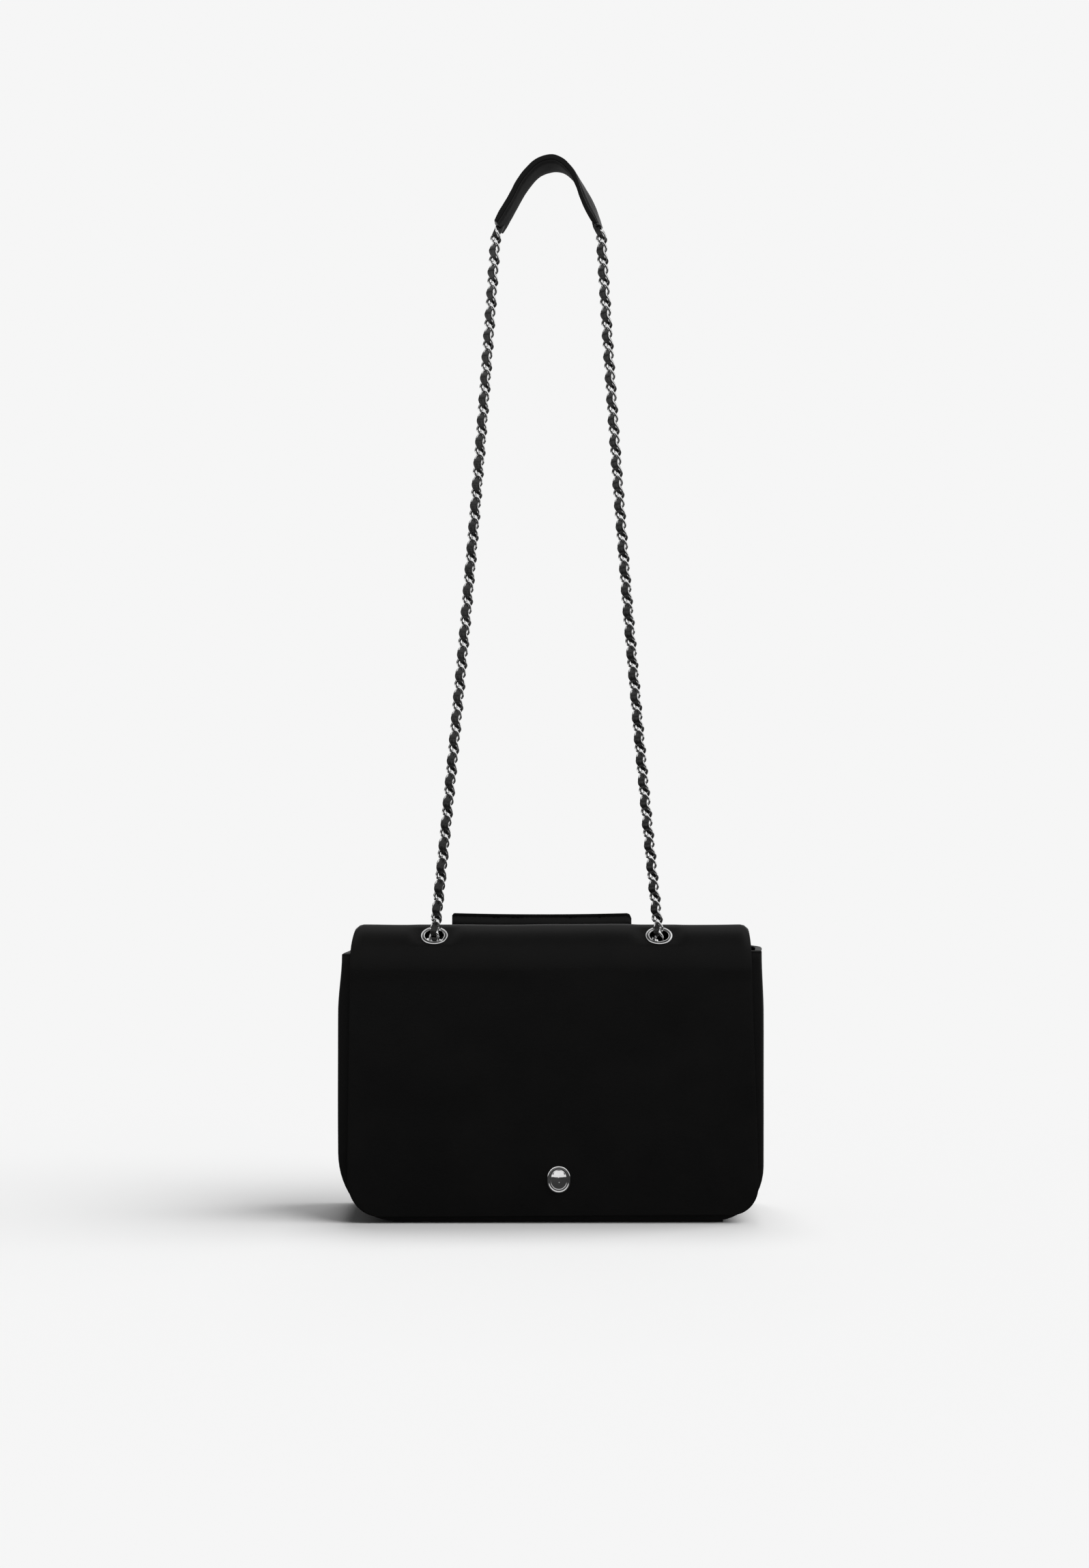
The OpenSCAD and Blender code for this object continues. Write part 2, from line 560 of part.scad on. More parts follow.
// The lace's ring at step k, counted in half links from the first link's middle
function rear_ring(k) = let (i = max(0, min(floor(k / 2), len(rear_headings) - 1)),
    bearing = rear_headings[i][0], rise = rear_headings[i][1], side = [-sin(bearing), cos(bearing), 0],
    down = [sin(rise) * cos(bearing), sin(rise) * sin(bearing), -cos(rise)],
    place = hook(rear_start, rear_headings, i) + (1 + k - 2 * i) * link_pitch / 2 * heading(bearing, rise))
  ring(place + lace_sway * sin(90 * k) * side, lace_w / 2 * down, lace_t / 2 * side);
module rear_laces() color(LEATHER) translate([-rear_off, 0, 0]) for (m = [0, 1]) mirror([m, 0, 0]) {
  last = 2 * len(rear_headings) - 2;
  foam_mid = rear_in_y + (pad_lining_t + pad_t - pad_cover_t) / 2;
  ribbon(concat([for (k = [-0.5:0.5:0]) rear_ring(k)], [for (k = [1:last]) rear_ring(k)],
    [for (d = [0, lace_in]) ring([rear_pad_l / 2 - d, foam_mid, rear_pad_z], [0, 0, -lace_w / 2], [0, -lace_t / 2, 0])]));
}
module rear_layer(t0, t1, inset, short) along_y(rear_in_y + t0, rear_in_y + t1)
  translate([-rear_off, rear_pad_z]) round_rect(rear_pad_l - 2 * short, pad_w - 2 * inset, rear_pad_r - inset);
module rear_pad_lining() color(LEATHER) rear_layer(0, pad_lining_t, 0, 0);
module rear_pad_foam() color(FOAM) rear_layer(pad_lining_t, pad_t - pad_cover_t, foam_inset, lace_in + clear);
module rear_pad_cover() color(LEATHER) rear_layer(pad_t - pad_cover_t, pad_t, 0, 0);

front_panel();
back_panel();
gusset(-1);  // gusset_left
gusset(1);  // gusset_right
base_panel();
base_board();
front_board();
back_board();
lining();
mouth_facing();
back_facing();
slip_pocket();
snap_socket();
snap_socket_washer();
at_back_eye(-1) eyelet(panel_t + facing_t);  // eyelet_back_left
at_back_eye(1) eyelet(panel_t + facing_t);  // eyelet_back_right
for (s = [-1, 1]) at_back_eye(s) eyelet_washer(panel_t + facing_t);  // eyelet_washers_back
inner_run(back_pivot, inner_back_headings, rear_off);  // inner_chain_back
flap_top_leather();
flap_top_lining();
at_front_eye(-1) eyelet(flap_t);  // eyelet_front_left
at_front_eye(1) eyelet(flap_t);  // eyelet_front_right
for (s = [-1, 1]) at_front_eye(s) eyelet_washer(flap_t);  // eyelet_washers_front
inner_run(front_pivot, inner_front_headings, strap_off);  // inner_chain_flap
flap_front_leather();
flap_front_lining();
snap_stud();
snap_stud_washer();
ornament();
ornament_washers();
chain(-1);  // chain_left
chain(1);  // chain_right
lace(-1);  // lace_left
lace(1);  // lace_right
pad_cover();
pad_foam();
pad_lining();
rear_chain();
rear_laces();
rear_pad_cover();
rear_pad_foam();
rear_pad_lining();
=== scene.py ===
import bpy
import json
from math import atan, atan2, copysign, cos, dist, exp, hypot, pi, radians, sin, sqrt, tan
from mathutils import Matrix, Vector, noise


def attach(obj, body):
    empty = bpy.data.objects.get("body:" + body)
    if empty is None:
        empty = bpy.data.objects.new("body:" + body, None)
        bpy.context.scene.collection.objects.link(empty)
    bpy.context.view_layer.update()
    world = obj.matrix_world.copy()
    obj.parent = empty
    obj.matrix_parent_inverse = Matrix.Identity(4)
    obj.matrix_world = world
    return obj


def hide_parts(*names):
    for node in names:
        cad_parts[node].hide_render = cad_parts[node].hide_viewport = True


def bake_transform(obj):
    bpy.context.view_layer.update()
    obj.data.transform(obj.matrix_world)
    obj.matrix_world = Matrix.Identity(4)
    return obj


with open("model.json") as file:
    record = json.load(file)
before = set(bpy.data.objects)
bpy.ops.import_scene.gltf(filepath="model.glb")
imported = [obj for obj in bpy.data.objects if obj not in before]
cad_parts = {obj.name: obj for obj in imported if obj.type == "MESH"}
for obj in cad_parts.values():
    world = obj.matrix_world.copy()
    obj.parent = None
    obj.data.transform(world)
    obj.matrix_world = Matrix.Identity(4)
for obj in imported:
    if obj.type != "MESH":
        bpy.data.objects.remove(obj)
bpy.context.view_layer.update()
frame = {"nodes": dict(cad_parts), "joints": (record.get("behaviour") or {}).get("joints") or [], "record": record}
mm = 0.001  # turns the pieces' sizes, which are in millimetres, into metres
print("frame loaded,", len(frame["nodes"]), "nodes")

# The camera looks level at the bag from in front, a little higher than the body
cameraSet = {"place": (-3.8, -1600, 258.4), "lens": 60.8, "sensor": 36}
bpy.ops.object.select_all(action="DESELECT")
bpy.ops.object.camera_add(location=[c * mm for c in cameraSet["place"]], rotation=(radians(90), 0, 0))
camera = bpy.context.object
camera.data.lens = cameraSet["lens"]
camera.data.sensor_width = cameraSet["sensor"]
bpy.context.scene.camera = camera
bpy.context.scene.view_settings.view_transform = "Standard"


# Small helpers for shaping
def smooth(value, low, high):
    t = min(1, max(0, (value - low) / (high - low)))
    return t * t * (3 - 2 * t)


def mix(a, b, t):
    return a + (b - a) * t


hands = ((-1, "left"), (1, "right"))


def handed(pair, x):
    # The first of a pair of settings is for the left, the second for the right
    return pair[0 if x < 0 else 1]


def unevenness(x, y, z, size):
    return noise.noise(Vector((x, y, z)) / size)


def selectOnly(*objects):
    bpy.ops.object.select_all(action="DESELECT")
    for obj in objects:
        obj.select_set(True)
    bpy.context.view_layer.objects.active = objects[0]


def added(operator, **settings):
    # A new primitive, with everything else deselected first
    bpy.ops.object.select_all(action="DESELECT")
    operator(**settings)
    return bpy.context.object


def finishWith(piece, kind, **settings):
    selectOnly(piece)
    modifier = piece.modifiers.new(kind.title(), kind)
    for key, value in settings.items():
        setattr(modifier, key, value)
    bpy.ops.object.modifier_apply(modifier=modifier.name)


def smoothShade(piece, degrees=40):
    selectOnly(piece)
    bpy.ops.object.shade_smooth_by_angle(angle=radians(degrees))


def cutSheet(name, columns, rows, place, thickness, edge):
    # A flat grid is laid onto the form, given its thickness, and its cut edge is rounded
    piece = added(bpy.ops.mesh.primitive_grid_add, x_subdivisions=columns, y_subdivisions=rows, size=2)
    piece.name = name
    flat = [(v.co.x, (v.co.y + 1) / 2) for v in piece.data.vertices]
    for v, (across, along) in zip(piece.data.vertices, flat):
        v.co = Vector(place(across, along, 0)) * mm
    finishWith(piece, "SOLIDIFY", thickness=thickness * mm, offset=-1)
    for v, (across, along) in zip(piece.data.vertices[len(flat):], flat):
        v.co = Vector(place(across, along, thickness)) * mm
    if edge:
        finishWith(piece, "BEVEL", width=edge * mm, segments=2, limit_method="ANGLE",
                   angle_limit=radians(50))
    smoothShade(piece)
    return piece


def joinAll(name, parts):
    selectOnly(*parts)
    if len(parts) > 1:
        bpy.ops.object.join()
    joined = bpy.context.view_layer.objects.active
    joined.name = name
    return joined


def punch(piece, holes):
    for (x, y, z), tilt in holes:
        cutter = added(bpy.ops.mesh.primitive_cylinder_add, vertices=48, radius=eyelets["hole"] * mm,
                       depth=24 * mm, location=(x * mm, y * mm, z * mm), rotation=(radians(tilt), 0, 0))
        finishWith(piece, "BOOLEAN", operation="DIFFERENCE", solver="EXACT", object=cutter)
        bpy.data.objects.remove(cutter)
    smoothShade(piece)


def copiesOf(name, model, places):
    # One modelled piece, copied to each place with a mesh of its own, then joined
    copies = []
    for place in places:
        copy = bpy.data.objects.new(name, model.data.copy())
        bpy.context.scene.collection.objects.link(copy)
        copy.data.transform(place)
        copies.append(copy)
    return joinAll(name, copies)


def standing(origin, along, out):
    # A place whose X runs along and whose Z points out
    x = Vector(along).normalized()
    z = (Vector(out) - Vector(out).dot(x) * x).normalized()
    turn = Matrix((x, z.cross(x), z)).transposed().to_4x4()
    return Matrix.Translation(Vector(origin) * mm) @ turn


def turnedPiece(name, profile):
    # A ring with the given section of (radius, height) points
    ring = added(bpy.ops.mesh.primitive_torus_add, major_segments=64, minor_segments=len(profile),
                 major_radius=1, minor_radius=0.25)
    ring.name = name
    for v in ring.data.vertices:
        around = atan2(v.co.y, v.co.x)
        share = atan2(v.co.z, hypot(v.co.x, v.co.y) - 1) / (2 * pi)
        radius, height = profile[round(share * len(profile)) % len(profile)]
        v.co = Vector((radius * cos(around), radius * sin(around), height)) * mm
    return ring


def curveThrough(rows, t):
    # Smooth values between the rows of a table, whose first column is t
    k = max(1, min(len(rows) - 1, sum(1 for row in rows if row[0] <= t)))
    before, start, stop, after = rows[max(0, k - 2)], rows[k - 1], rows[k], rows[min(len(rows) - 1, k + 1)]
    u = (t - start[0]) / (stop[0] - start[0])
    values = []
    for a, b, c, d in list(zip(before, start, stop, after))[1:]:
        values.append(b + 0.5 * u * (c - a + u * (2 * a - 5 * b + 4 * c - d + u * (3 * (b - c) + d - a))))
    return values


stitch = (2.1, 0.52, 0.4)  # length, width and height of one stitch


def stitchRow(name, surface, count, body):
    # Stitches along a line of the surface, which gives a point and its outward direction for 0 to 1
    model = added(bpy.ops.mesh.primitive_uv_sphere_add, segments=8, ring_count=5, radius=1)
    for v in model.data.vertices:
        v.co = Vector([c * size / 2 for c, size in zip(v.co, stitch)]) * mm
    smoothShade(model, 80)
    places = []
    for i in range(count):
        point, out = surface((i + 0.5) / count)
        before, after = surface((i + 0.3) / count)[0], surface((i + 0.7) / count)[0]
        places.append(standing(point, Vector(after) - Vector(before), out))
    row = copiesOf(name, model, places)
    bpy.data.objects.remove(model)
    dress(row, "pad_leather", body, finish=threadFinish)


# Materials: a socket that can be added and multiplied, and one method that makes any node
class Value:
    def __init__(self, maker, socket):
        self.maker, self.socket = maker, socket

    def maths(self, operation, first, second):
        return self.maker.node("Math", {"operation": operation}, {0: first, 1: second})

    def __add__(self, other):
        return self.maths("ADD", self, other)

    def __radd__(self, other):
        return self.maths("ADD", other, self)

    def __sub__(self, other):
        return self.maths("SUBTRACT", self, other)

    def __rsub__(self, other):
        return self.maths("SUBTRACT", other, self)

    def __mul__(self, other):
        return self.maths("MULTIPLY", self, other)

    def __rmul__(self, other):
        return self.maths("MULTIPLY", other, self)

    def output(self, index):
        return Value(self.maker, self.socket.node.outputs[index])

    def between(self, low, high):
        return self.maker.node("MapRange", {"interpolation_type": "SMOOTHSTEP"},
                               {"Value": self, "From Min": low, "From Max": high})


class Maker:
    def __init__(self, tree):
        self.tree = tree
        tree.nodes.clear()

    def node(self, kind, settings=None, sockets=None, out=0):
        made = self.tree.nodes.new("ShaderNode" + kind)
        for key, value in (settings or {}).items():
            setattr(made, key, value)
        for key, value in (sockets or {}).items():
            if isinstance(value, Value):
                self.tree.links.new(value.socket, made.inputs[key])
            else:
                made.inputs[key].default_value = value
        return Value(self, made.outputs[out]) if made.outputs else None

    def blendColours(self, factor, first, second):
        return self.node("Mix", {"data_type": "RGBA"}, {0: factor, 6: first, 7: second}, out=2)

    def noise(self, place, perMetre, detail, roughness=0.5):
        return self.node("TexNoise", {}, {"Vector": place, "Scale": perMetre, "Detail": detail,
                                          "Roughness": roughness})

    def stretched(self, place, x, y, z):
        return self.node("Mapping", {}, {"Vector": place, "Scale": (x, y, z)})

    def wave(self, angle):
        return self.node("Math", {"operation": "SINE"}, {0: angle})

    def bump(self, height, strength, distance):
        return self.node("Bump", {}, {"Height": height, "Strength": strength, "Distance": distance})

    def surface(self, sockets):
        shader = self.node("BsdfPrincipled", {}, sockets)
        self.node("OutputMaterial", {}, {"Surface": shader})


def startMaterial(name):
    # The material, its maker and the place on the object, which every pattern reads
    material = bpy.data.materials.new(name)
    material.use_nodes = True
    make = Maker(material.node_tree)
    return material, make, make.node("TexCoord", out=3)


def grey(level, warmth=0.0):
    return (level * (1 + warmth), level, level * (1 - warmth), 1)


leatherLook = {
    "body": {"dark": 0.0040, "light": 0.0050, "rough": (0.42, 0.50), "grain": 1250, "depth": 0.10,
             "specular": 0.10},
    "flap": {"dark": 0.0036, "light": 0.0045, "rough": (0.42, 0.48), "grain": 1300, "depth": 0.08,
             "specular": 0.085},
    "pad": {"dark": 0.0040, "light": 0.0054, "rough": (0.30, 0.40), "grain": 1100, "depth": 0.12,
            "specular": 0.12},
    "lace": {"dark": 0.0070, "light": 0.0150, "rough": (0.28, 0.42), "grain": 1700, "depth": 0.16,
             "specular": 0.42},
    "padInner": {"dark": 0.0045, "light": 0.0065, "rough": (0.60, 0.72), "grain": 1500, "depth": 0.10,
                 "specular": 0.05},
    "inner": {"dark": 0.0080, "light": 0.0120, "rough": (0.60, 0.75), "grain": 1500, "depth": 0.10,
              "specular": 0.12},
}


def leatherMaterial(name, look):
    material, make, place = startMaterial(name)
    pores = make.node("TexVoronoi", {"feature": "SMOOTH_F1"},
                      {"Vector": place, "Scale": look["grain"], "Smoothness": 0.6})
    creases = make.noise(make.stretched(place, 1, 1, 2.2), 210, 4, 0.6)
    cloud = make.noise(place, 38, 3, 0.55)
    speck = make.noise(place, 900, 2, 0.6)
    height = pores * look["depth"] + creases.between(0.42, 0.62) * 0.05 + speck * 0.03
    rough = look["rough"][0] + (cloud * 0.6 + speck * 0.4) * (look["rough"][1] - look["rough"][0])
    colour = make.blendColours(cloud.between(0.3, 0.72), grey(look["dark"]), grey(look["light"], 0.02))
    make.surface({"Base Color": colour, "Roughness": rough, "Normal": make.bump(height, 0.55, 0.00035),
                  "Specular IOR Level": look["specular"]})
    return material


def metalMaterial(name, tone, rough):
    material, make, place = startMaterial(name)
    cloud = make.noise(place, 120, 3, 0.6)
    scratch = make.noise(make.stretched(place, 1, 0.25, 3), 2600, 2, 0.6)
    colour = make.blendColours(cloud.between(0.35, 0.7), grey(tone * 0.9), grey(tone))
    make.surface({"Base Color": colour, "Metallic": 1.0, "Normal": make.bump(scratch, 0.04, 0.00002),
                  "Roughness": rough + cloud.between(0.4, 0.8) * 0.05})
    return material


def twillMaterial(name):
    material, make, place = startMaterial(name)
    parts = make.node("SeparateXYZ", {}, {"Vector": place})
    across = parts + parts.output(1)
    up = parts.output(2)
    fuzz = make.noise(place, 500, 3, 0.6)
    weave = make.wave((across + up) * 7400.0) * 0.35 + make.wave((across - up) * 12500.0) * 0.15 + 0.5
    colour = make.blendColours(weave.between(0.1, 0.9), grey(0.010, 0.03), grey(0.026, 0.03))
    make.surface({"Base Color": colour, "Normal": make.bump(weave + fuzz * 0.3, 0.5, 0.0002),
                  "Roughness": 0.8 + fuzz * 0.15, "Specular IOR Level": 0.15})
    return material


def fibreMaterial(name, dark, light, perMetre):
    material, make, place = startMaterial(name)
    fibres = make.noise(make.stretched(place, 1, 1, 0.3), perMetre, 5, 0.65)
    colour = make.blendColours(fibres.between(0.35, 0.65), grey(dark, 0.12), grey(light, 0.12))
    make.surface({"Base Color": colour, "Normal": make.bump(fibres, 0.4, 0.0002),
                  "Roughness": 0.75 + fibres * 0.2})
    return material


def threadMaterial(name):
    material, make, place = startMaterial(name)
    ply = make.noise(make.stretched(place, 1, 3, 1), 1800, 2, 0.5)
    colour = make.blendColours(ply.between(0.3, 0.7), grey(0.006), grey(0.016))
    make.surface({"Base Color": colour, "Roughness": 0.45 + ply * 0.2, "Specular IOR Level": 0.3})
    return material


finishes = {
    "body_leather": leatherMaterial("bodyLeather", leatherLook["body"]),
    "flap_leather": leatherMaterial("flapLeather", leatherLook["flap"]),
    "pad_leather": leatherMaterial("padLeather", leatherLook["pad"]),
    "lace_leather": leatherMaterial("laceLeather", leatherLook["lace"]),
    "lining_leather": leatherMaterial("liningLeather", leatherLook["inner"]),
    "lining_cloth": twillMaterial("liningTwill"),
    "board": fibreMaterial("boardFibre", 0.16, 0.26, 600),
    "foam": fibreMaterial("padFoam", 0.08, 0.12, 1500),
    "chain_metal": metalMaterial("chainMetal", 0.90, 0.08),
    "hardware_metal": metalMaterial("hardwareMetal", 0.84, 0.09),
}
threadFinish = threadMaterial("blackThread")
for row in frame["record"]["subparts"]:
    node = frame["nodes"][row["node"]]
    node.data.materials.clear()
    node.data.materials.append(finishes[row["material_slot"]])
print("finishes made:", len(finishes) + 1)


def dress(piece, slot, bodies, stands=(), start=None, end=None, finish=None):
    # Its finish, the nodes that it stands for, and the body that it moves with; a piece given a start is fixed in
    # place and joins no body
    piece.data.materials.clear()
    piece.data.materials.append(finish or finishes[slot])
    if stands:
        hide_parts(*stands)
    if start:
        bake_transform(piece)
    else:
        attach(piece, bodies)


# Places that the construction fixes: the pivots of the two strands are the middles of their eyelets
pivots = {joint["name"]: [c / mm for c in joint["pos_m"]] for joint in frame["joints"]}
strandOff = -pivots["strap_swing"][0]
rearOff = -pivots["rear_strap_swing"][0]
eyelets = {
    "span": 133,  # between the two of a pair
    "frontTilt": 36,
    "backTilt": -45,
    "hole": 6.25,  # radius of the hole that the barrel fills
    "flatOut": 9.0,  # the leather lies flat under the flange out to here
    "flatEnd": 17.0,
}


def eyeletX(side, off=strandOff):
    return side * eyelets["span"] / 2 - off


frontEye = pivots["strap_swing"][1:]
backEye = pivots["rear_strap_swing"][1:]


def overEyelet(x, off):
    near = min(abs(x - eyeletX(-1, off)), abs(x - eyeletX(1, off)))
    return 1 - smooth(near, eyelets["flatOut"], eyelets["flatEnd"])


def turnedFold(angle, radius, eye, tilt, depth, x, off):
    # Distance from the fold's middle to the leather, flattened where an eyelet's flange sits
    round_ = radius - depth
    if abs(angle - tilt) > 0.6:
        return round_
    flat = min(round_, (eye - depth) / cos(angle - tilt))
    return mix(round_, flat, overEyelet(x, off))


# Flap: one sheet of leather from its lower edge, up the front and over the fold
flap = {
    "foldRadius": 26,
    "foldMiddle": (-17.0, 148.4),
    "fall": 7.3,  # degrees that the top falls to the back
    "low": 3.0,
    "lift": (0.9, 2.0),  # left and right: how far the lower edge has crept up
    "front": -43.0,
    "topHalf": 118.2,
    "lowHalf": (120.0, 122.4),  # left and right, as the photographed flap is a little uneven
    "corners": ((19, 22), (15.5, 17.5)),  # left and right: how far in and how high each lower corner curves
    "narrowing": (2.0, 0.6),  # left and right: how much the leather narrows over the fold
    "rear": 13.5,  # where the leather ends at the back
    "liningRear": 1.5,
    "leather": 1.4,
    "lining": 1.0,
    "endReach": 5.0,
    "endDroop": 3.2,
}


def flapEnds():
    fall = radians(flap["fall"])
    front = flap["foldMiddle"][1] - flap["low"]
    arc = flap["foldRadius"] * (pi / 2 + fall)
    return front, arc, fall


def flapStraight(y):
    # How much straight leather lies between the end of the fold and a place further back
    fall = flapEnds()[2]
    return (y - flap["foldMiddle"][0] - flap["foldRadius"] * sin(fall)) / cos(fall)


def droop(x):
    # The leather's two ends sink a little over the fold
    reach = flap["endReach"]
    past = max(0, abs(x) - (flap["topHalf"] - handed(flap["narrowing"], x) - reach)) / reach
    return flap["endDroop"] * (1 - sqrt(max(0.06, 1 - min(past, 0.97) ** 2)))


def flapHalf(side, distance):
    front, arc = flapEnds()[:2]
    share = smooth(distance, 0, front) * 0.35 + 0.65 * min(1, distance / front)
    half = mix(handed(flap["lowHalf"], side), flap["topHalf"], share)
    return half - handed(flap["narrowing"], side) * smooth(distance, front + 0.2 * arc, front + arc)


def flapPoint(x, distance, depth):
    front, arc, fall = flapEnds()
    radius = flap["foldRadius"]
    middleY, middleZ = flap["foldMiddle"]
    eye = dist(frontEye, flap["foldMiddle"])
    tilt = radians(eyelets["frontTilt"])
    if distance < front:
        sink = droop(x) * 0.22 * smooth(distance, front - 40, front)
        calm = smooth(hypot(x - 2, distance - 36), 26, 60)
        wave = calm * smooth(distance, 0, 60) * (0.7 * unevenness(x, 7, distance, 62)
                                                  + 0.25 * unevenness(x, 3, distance, 24))
        lift = mix(*flap["lift"], smooth(x, -120, 120)) * (1 - smooth(distance, 0, 60))
        return x, flap["front"] + depth + sink + wave, flap["low"] + distance + lift
    if distance < front + arc:
        angle = pi / 2 - (distance - front) / radius
        reach = turnedFold(angle, radius, eye, tilt, depth, x, strandOff)
        sink = droop(x) * mix(1, 0.22, smooth(angle, 0.55, pi / 2))
        calm = 1 - overEyelet(x, strandOff)
        reach -= sink + calm * 0.5 * unevenness(x, 11, distance, 34) * smooth(pi / 2 - angle, 0, 0.5)
        return x, middleY - reach * sin(angle), middleZ + reach * cos(angle)
    back = distance - front - arc
    calm = (1 - overEyelet(x, strandOff)) * (1 - smooth(back, 2, 14))
    reach = radius - depth - droop(x) - 0.5 * calm * unevenness(x, 11, distance, 34)
    return (x, middleY + reach * sin(fall) + back * cos(fall),
            middleZ + reach * cos(fall) - back * sin(fall))


def cornerInset(height, low, corner, inset=0.0):
    # How far a lower corner has curved in at a height
    wide, tall = corner[0] - inset, corner[1] - inset
    left = min(1, max(0, 1 - (height - low) / tall))
    return wide * (1 - sqrt(1 - left ** 2))


def flapStations(inset, rear):
    front, arc = flapEnds()[:2]
    radius = flap["corners"][0][1] - inset
    straight = flapStraight(rear)
    corner = [inset + radius * (1 - cos(radians(6 * k))) for k in range(16)]
    hanging = [mix(inset + radius, front, k / 30) for k in range(1, 31)]
    turning = [front + arc * k / 32 for k in range(1, 33)]
    return corner + hanging + turning + [front + arc + straight * k / 9 for k in range(1, 10)]


def flapSheet(name, inset, depth0, thickness, rear, edge):
    stations = flapStations(inset, rear)
    rows = len(stations) - 1

    def place(across, along, depth):
        distance = stations[round(along * rows)]
        cut = cornerInset(distance, inset, handed(flap["corners"], across), inset)
        return flapPoint(across * (flapHalf(across, distance) - inset - cut), distance, depth0 + depth)

    return cutSheet(name, 104, rows, place, thickness, edge)


frontHoles = [((eyeletX(s), *frontEye), eyelets["frontTilt"]) for s in (-1, 1)]
flapLeather = flapSheet("flapLeather", 0, 0, flap["leather"], flap["rear"], 0.62)
punch(flapLeather, frontHoles)
flapLining = flapSheet("flapLining", 2, flap["leather"] + 0.02, flap["lining"], flap["liningRear"], 0.35)
punch(flapLining, frontHoles)
bend = {"start": (0, -41.4, 156), "end": (0, -41.4, 142)}  # two heights on the flap, either side of where its fold meets the front
flapBodies = ("flap_top", "flap_front")
dress(flapLeather, "flap_leather", flapBodies, ("flap_top_leather", "flap_front_leather"), **bend)
dress(flapLining, "lining_leather", flapBodies, ("flap_top_lining", "flap_front_lining"), **bend)
print("flap made")
lapStitching = {"half": 113, "back": 11.2, "sunk": 0.02, "count": 68}


def lapSeam(t):
    # The flap is stitched to the back panel's end along this line
    front, arc, fall = flapEnds()
    x = mix(-lapStitching["half"], lapStitching["half"], t)
    point = flapPoint(x, front + arc + flapStraight(lapStitching["back"]), lapStitching["sunk"])
    return point, (0, sin(fall), cos(fall))


stitchRow("lapStitches", lapSeam, lapStitching["count"], "flap_top")

# Eyelets: a flange with a narrow lip at the hole and a thin rolled rim, and a barrel through the leather
eyeletSection = [(8.08, 0.12), (8.08, 0.4), (7.98, 0.66), (7.8, 0.84), (7.55, 0.92), (6.45, 1.0),
                 (6.1, 0.98), (5.85, 0.88), (5.66, 0.66), (5.54, 0.35), (5.5, 0.0), (5.5, -3.2),
                 (5.62, -3.4), (6.05, -3.4), (6.18, -3.2), (6.18, -0.1), (6.3, 0.02), (7.9, 0.02)]


def placeEyelets(bodyName, side, eye, tilt, off):
    for s, hand in hands:
        ring = turnedPiece("eyelet" + side.title() + hand.title(), eyeletSection)
        smoothShade(ring, 60)
        ring.data.transform(Matrix.Translation(Vector((eyeletX(s, off), *eye)) * mm)
                            @ Matrix.Rotation(radians(tilt), 4, "X"))
        dress(ring, "hardware_metal", bodyName, ("eyelet_" + side + "_" + hand,))


placeEyelets("flap_top", "front", frontEye, eyelets["frontTilt"], strandOff)
placeEyelets("bag", "back", backEye, eyelets["backTilt"], rearOff)
print("eyelets made")

# Body: panels sewn to a band that runs down one side, along the base and up the other
body = {
    "half": 125.0,
    "front": -38.0,
    "back": 38.0,
    "panel": 2.0,
    "low": 0.8,  # the sole lifts the rest by this
    "mouth": 158.0,
    "mouthLift": (-0.3, 1.5),  # left and right
    "corners": ((32, 40), (27.5, 32)),
    "proud": 0.5,  # the panels' edges stand this far outside the band
    "bulge": (2.6, 1.2),  # left and right: the gussets' swelling at mid height
    "pull": ((2.2, 4.4, 9.5), (1.1, -1.5, 9.5)),  # left and right: how far the mouth is drawn in
    "roll": (1.2, 2.4),  # left and right: radius of the front panel's edges
    "backRadius": 20.0,
    "facing": 1.2,
    "facingLow": 134.0,
}
backMiddle = (body["back"] - body["backRadius"], 150.119)


def drawnIn(x, pull):
    return copysign(abs(x) - pull * smooth(abs(x), 92, 121), x)


def settle(x, y, z):
    # The hand-made unevenness of the body, the same for every piece at the same place
    depth = 1 - min(1, abs(y) / 38) ** 2
    swell = handed(body["bulge"], x) * smooth(z, 6, 64) * (1 - smooth(z, 104, 158)) * depth
    front, middle, back = handed(body["pull"], x)
    pull = mix(mix(front, middle, smooth(y, -38, 0)), back, smooth(y, 0, 36))
    pull *= smooth(z, 124, mix(body["mouth"], backMiddle[1], smooth(y, 0, 30)))
    ripple = 0.5 * depth * unevenness(x, y, z, 30) * smooth(z, 10, 40)
    lift = handed(body["mouthLift"], x) * smooth(z, 130, 158)
    lift *= smooth(abs(x), 60, 122) * (1 - smooth(y, 20, 34))
    return drawnIn(x, pull - swell - ripple), y, z + lift


def panelStations(top, inset=0.0):
    tall = body["corners"][0][1] - inset
    corner = [body["low"] + inset + tall * (1 - cos(radians(6 * k))) for k in range(16)]
    return corner + [mix(corner[-1], top, k / 26) for k in range(1, 27)]


def closer(across):
    # Brings the outer columns of a sheet closer together, for its rolled edges
    fine, share = 0.16, 0.028
    a = abs(across)
    a = a * (1 - share) / (1 - fine) if a < 1 - fine else 1 - share * (1 - a) / fine
    return copysign(a, across)


def wallSheet(name, y, facing, half, inset, top, thickness, columns, edge, roll=(0, 0)):
    # An upright panel with round lower corners; facing is -1 for a front face and 1 for a back face
    stations = panelStations(top, inset)
    rows = len(stations) - 1

    def place(across, along, depth):
        z = stations[round(along * rows)]
        across = -facing * (closer(across) if max(roll) else across)
        wide = half - cornerInset(z, body["low"] + inset, handed(body["corners"], across), inset)
        x = across * wide
        radius = handed(roll, across)
        past = min(0.98, max(0, abs(x) - (wide - radius)) / radius) if radius else 0
        back = radius * (1 - sqrt(1 - past ** 2))
        return settle(x, y - facing * (depth + back), z)

    return cutSheet(name, columns, rows, place, thickness, edge)


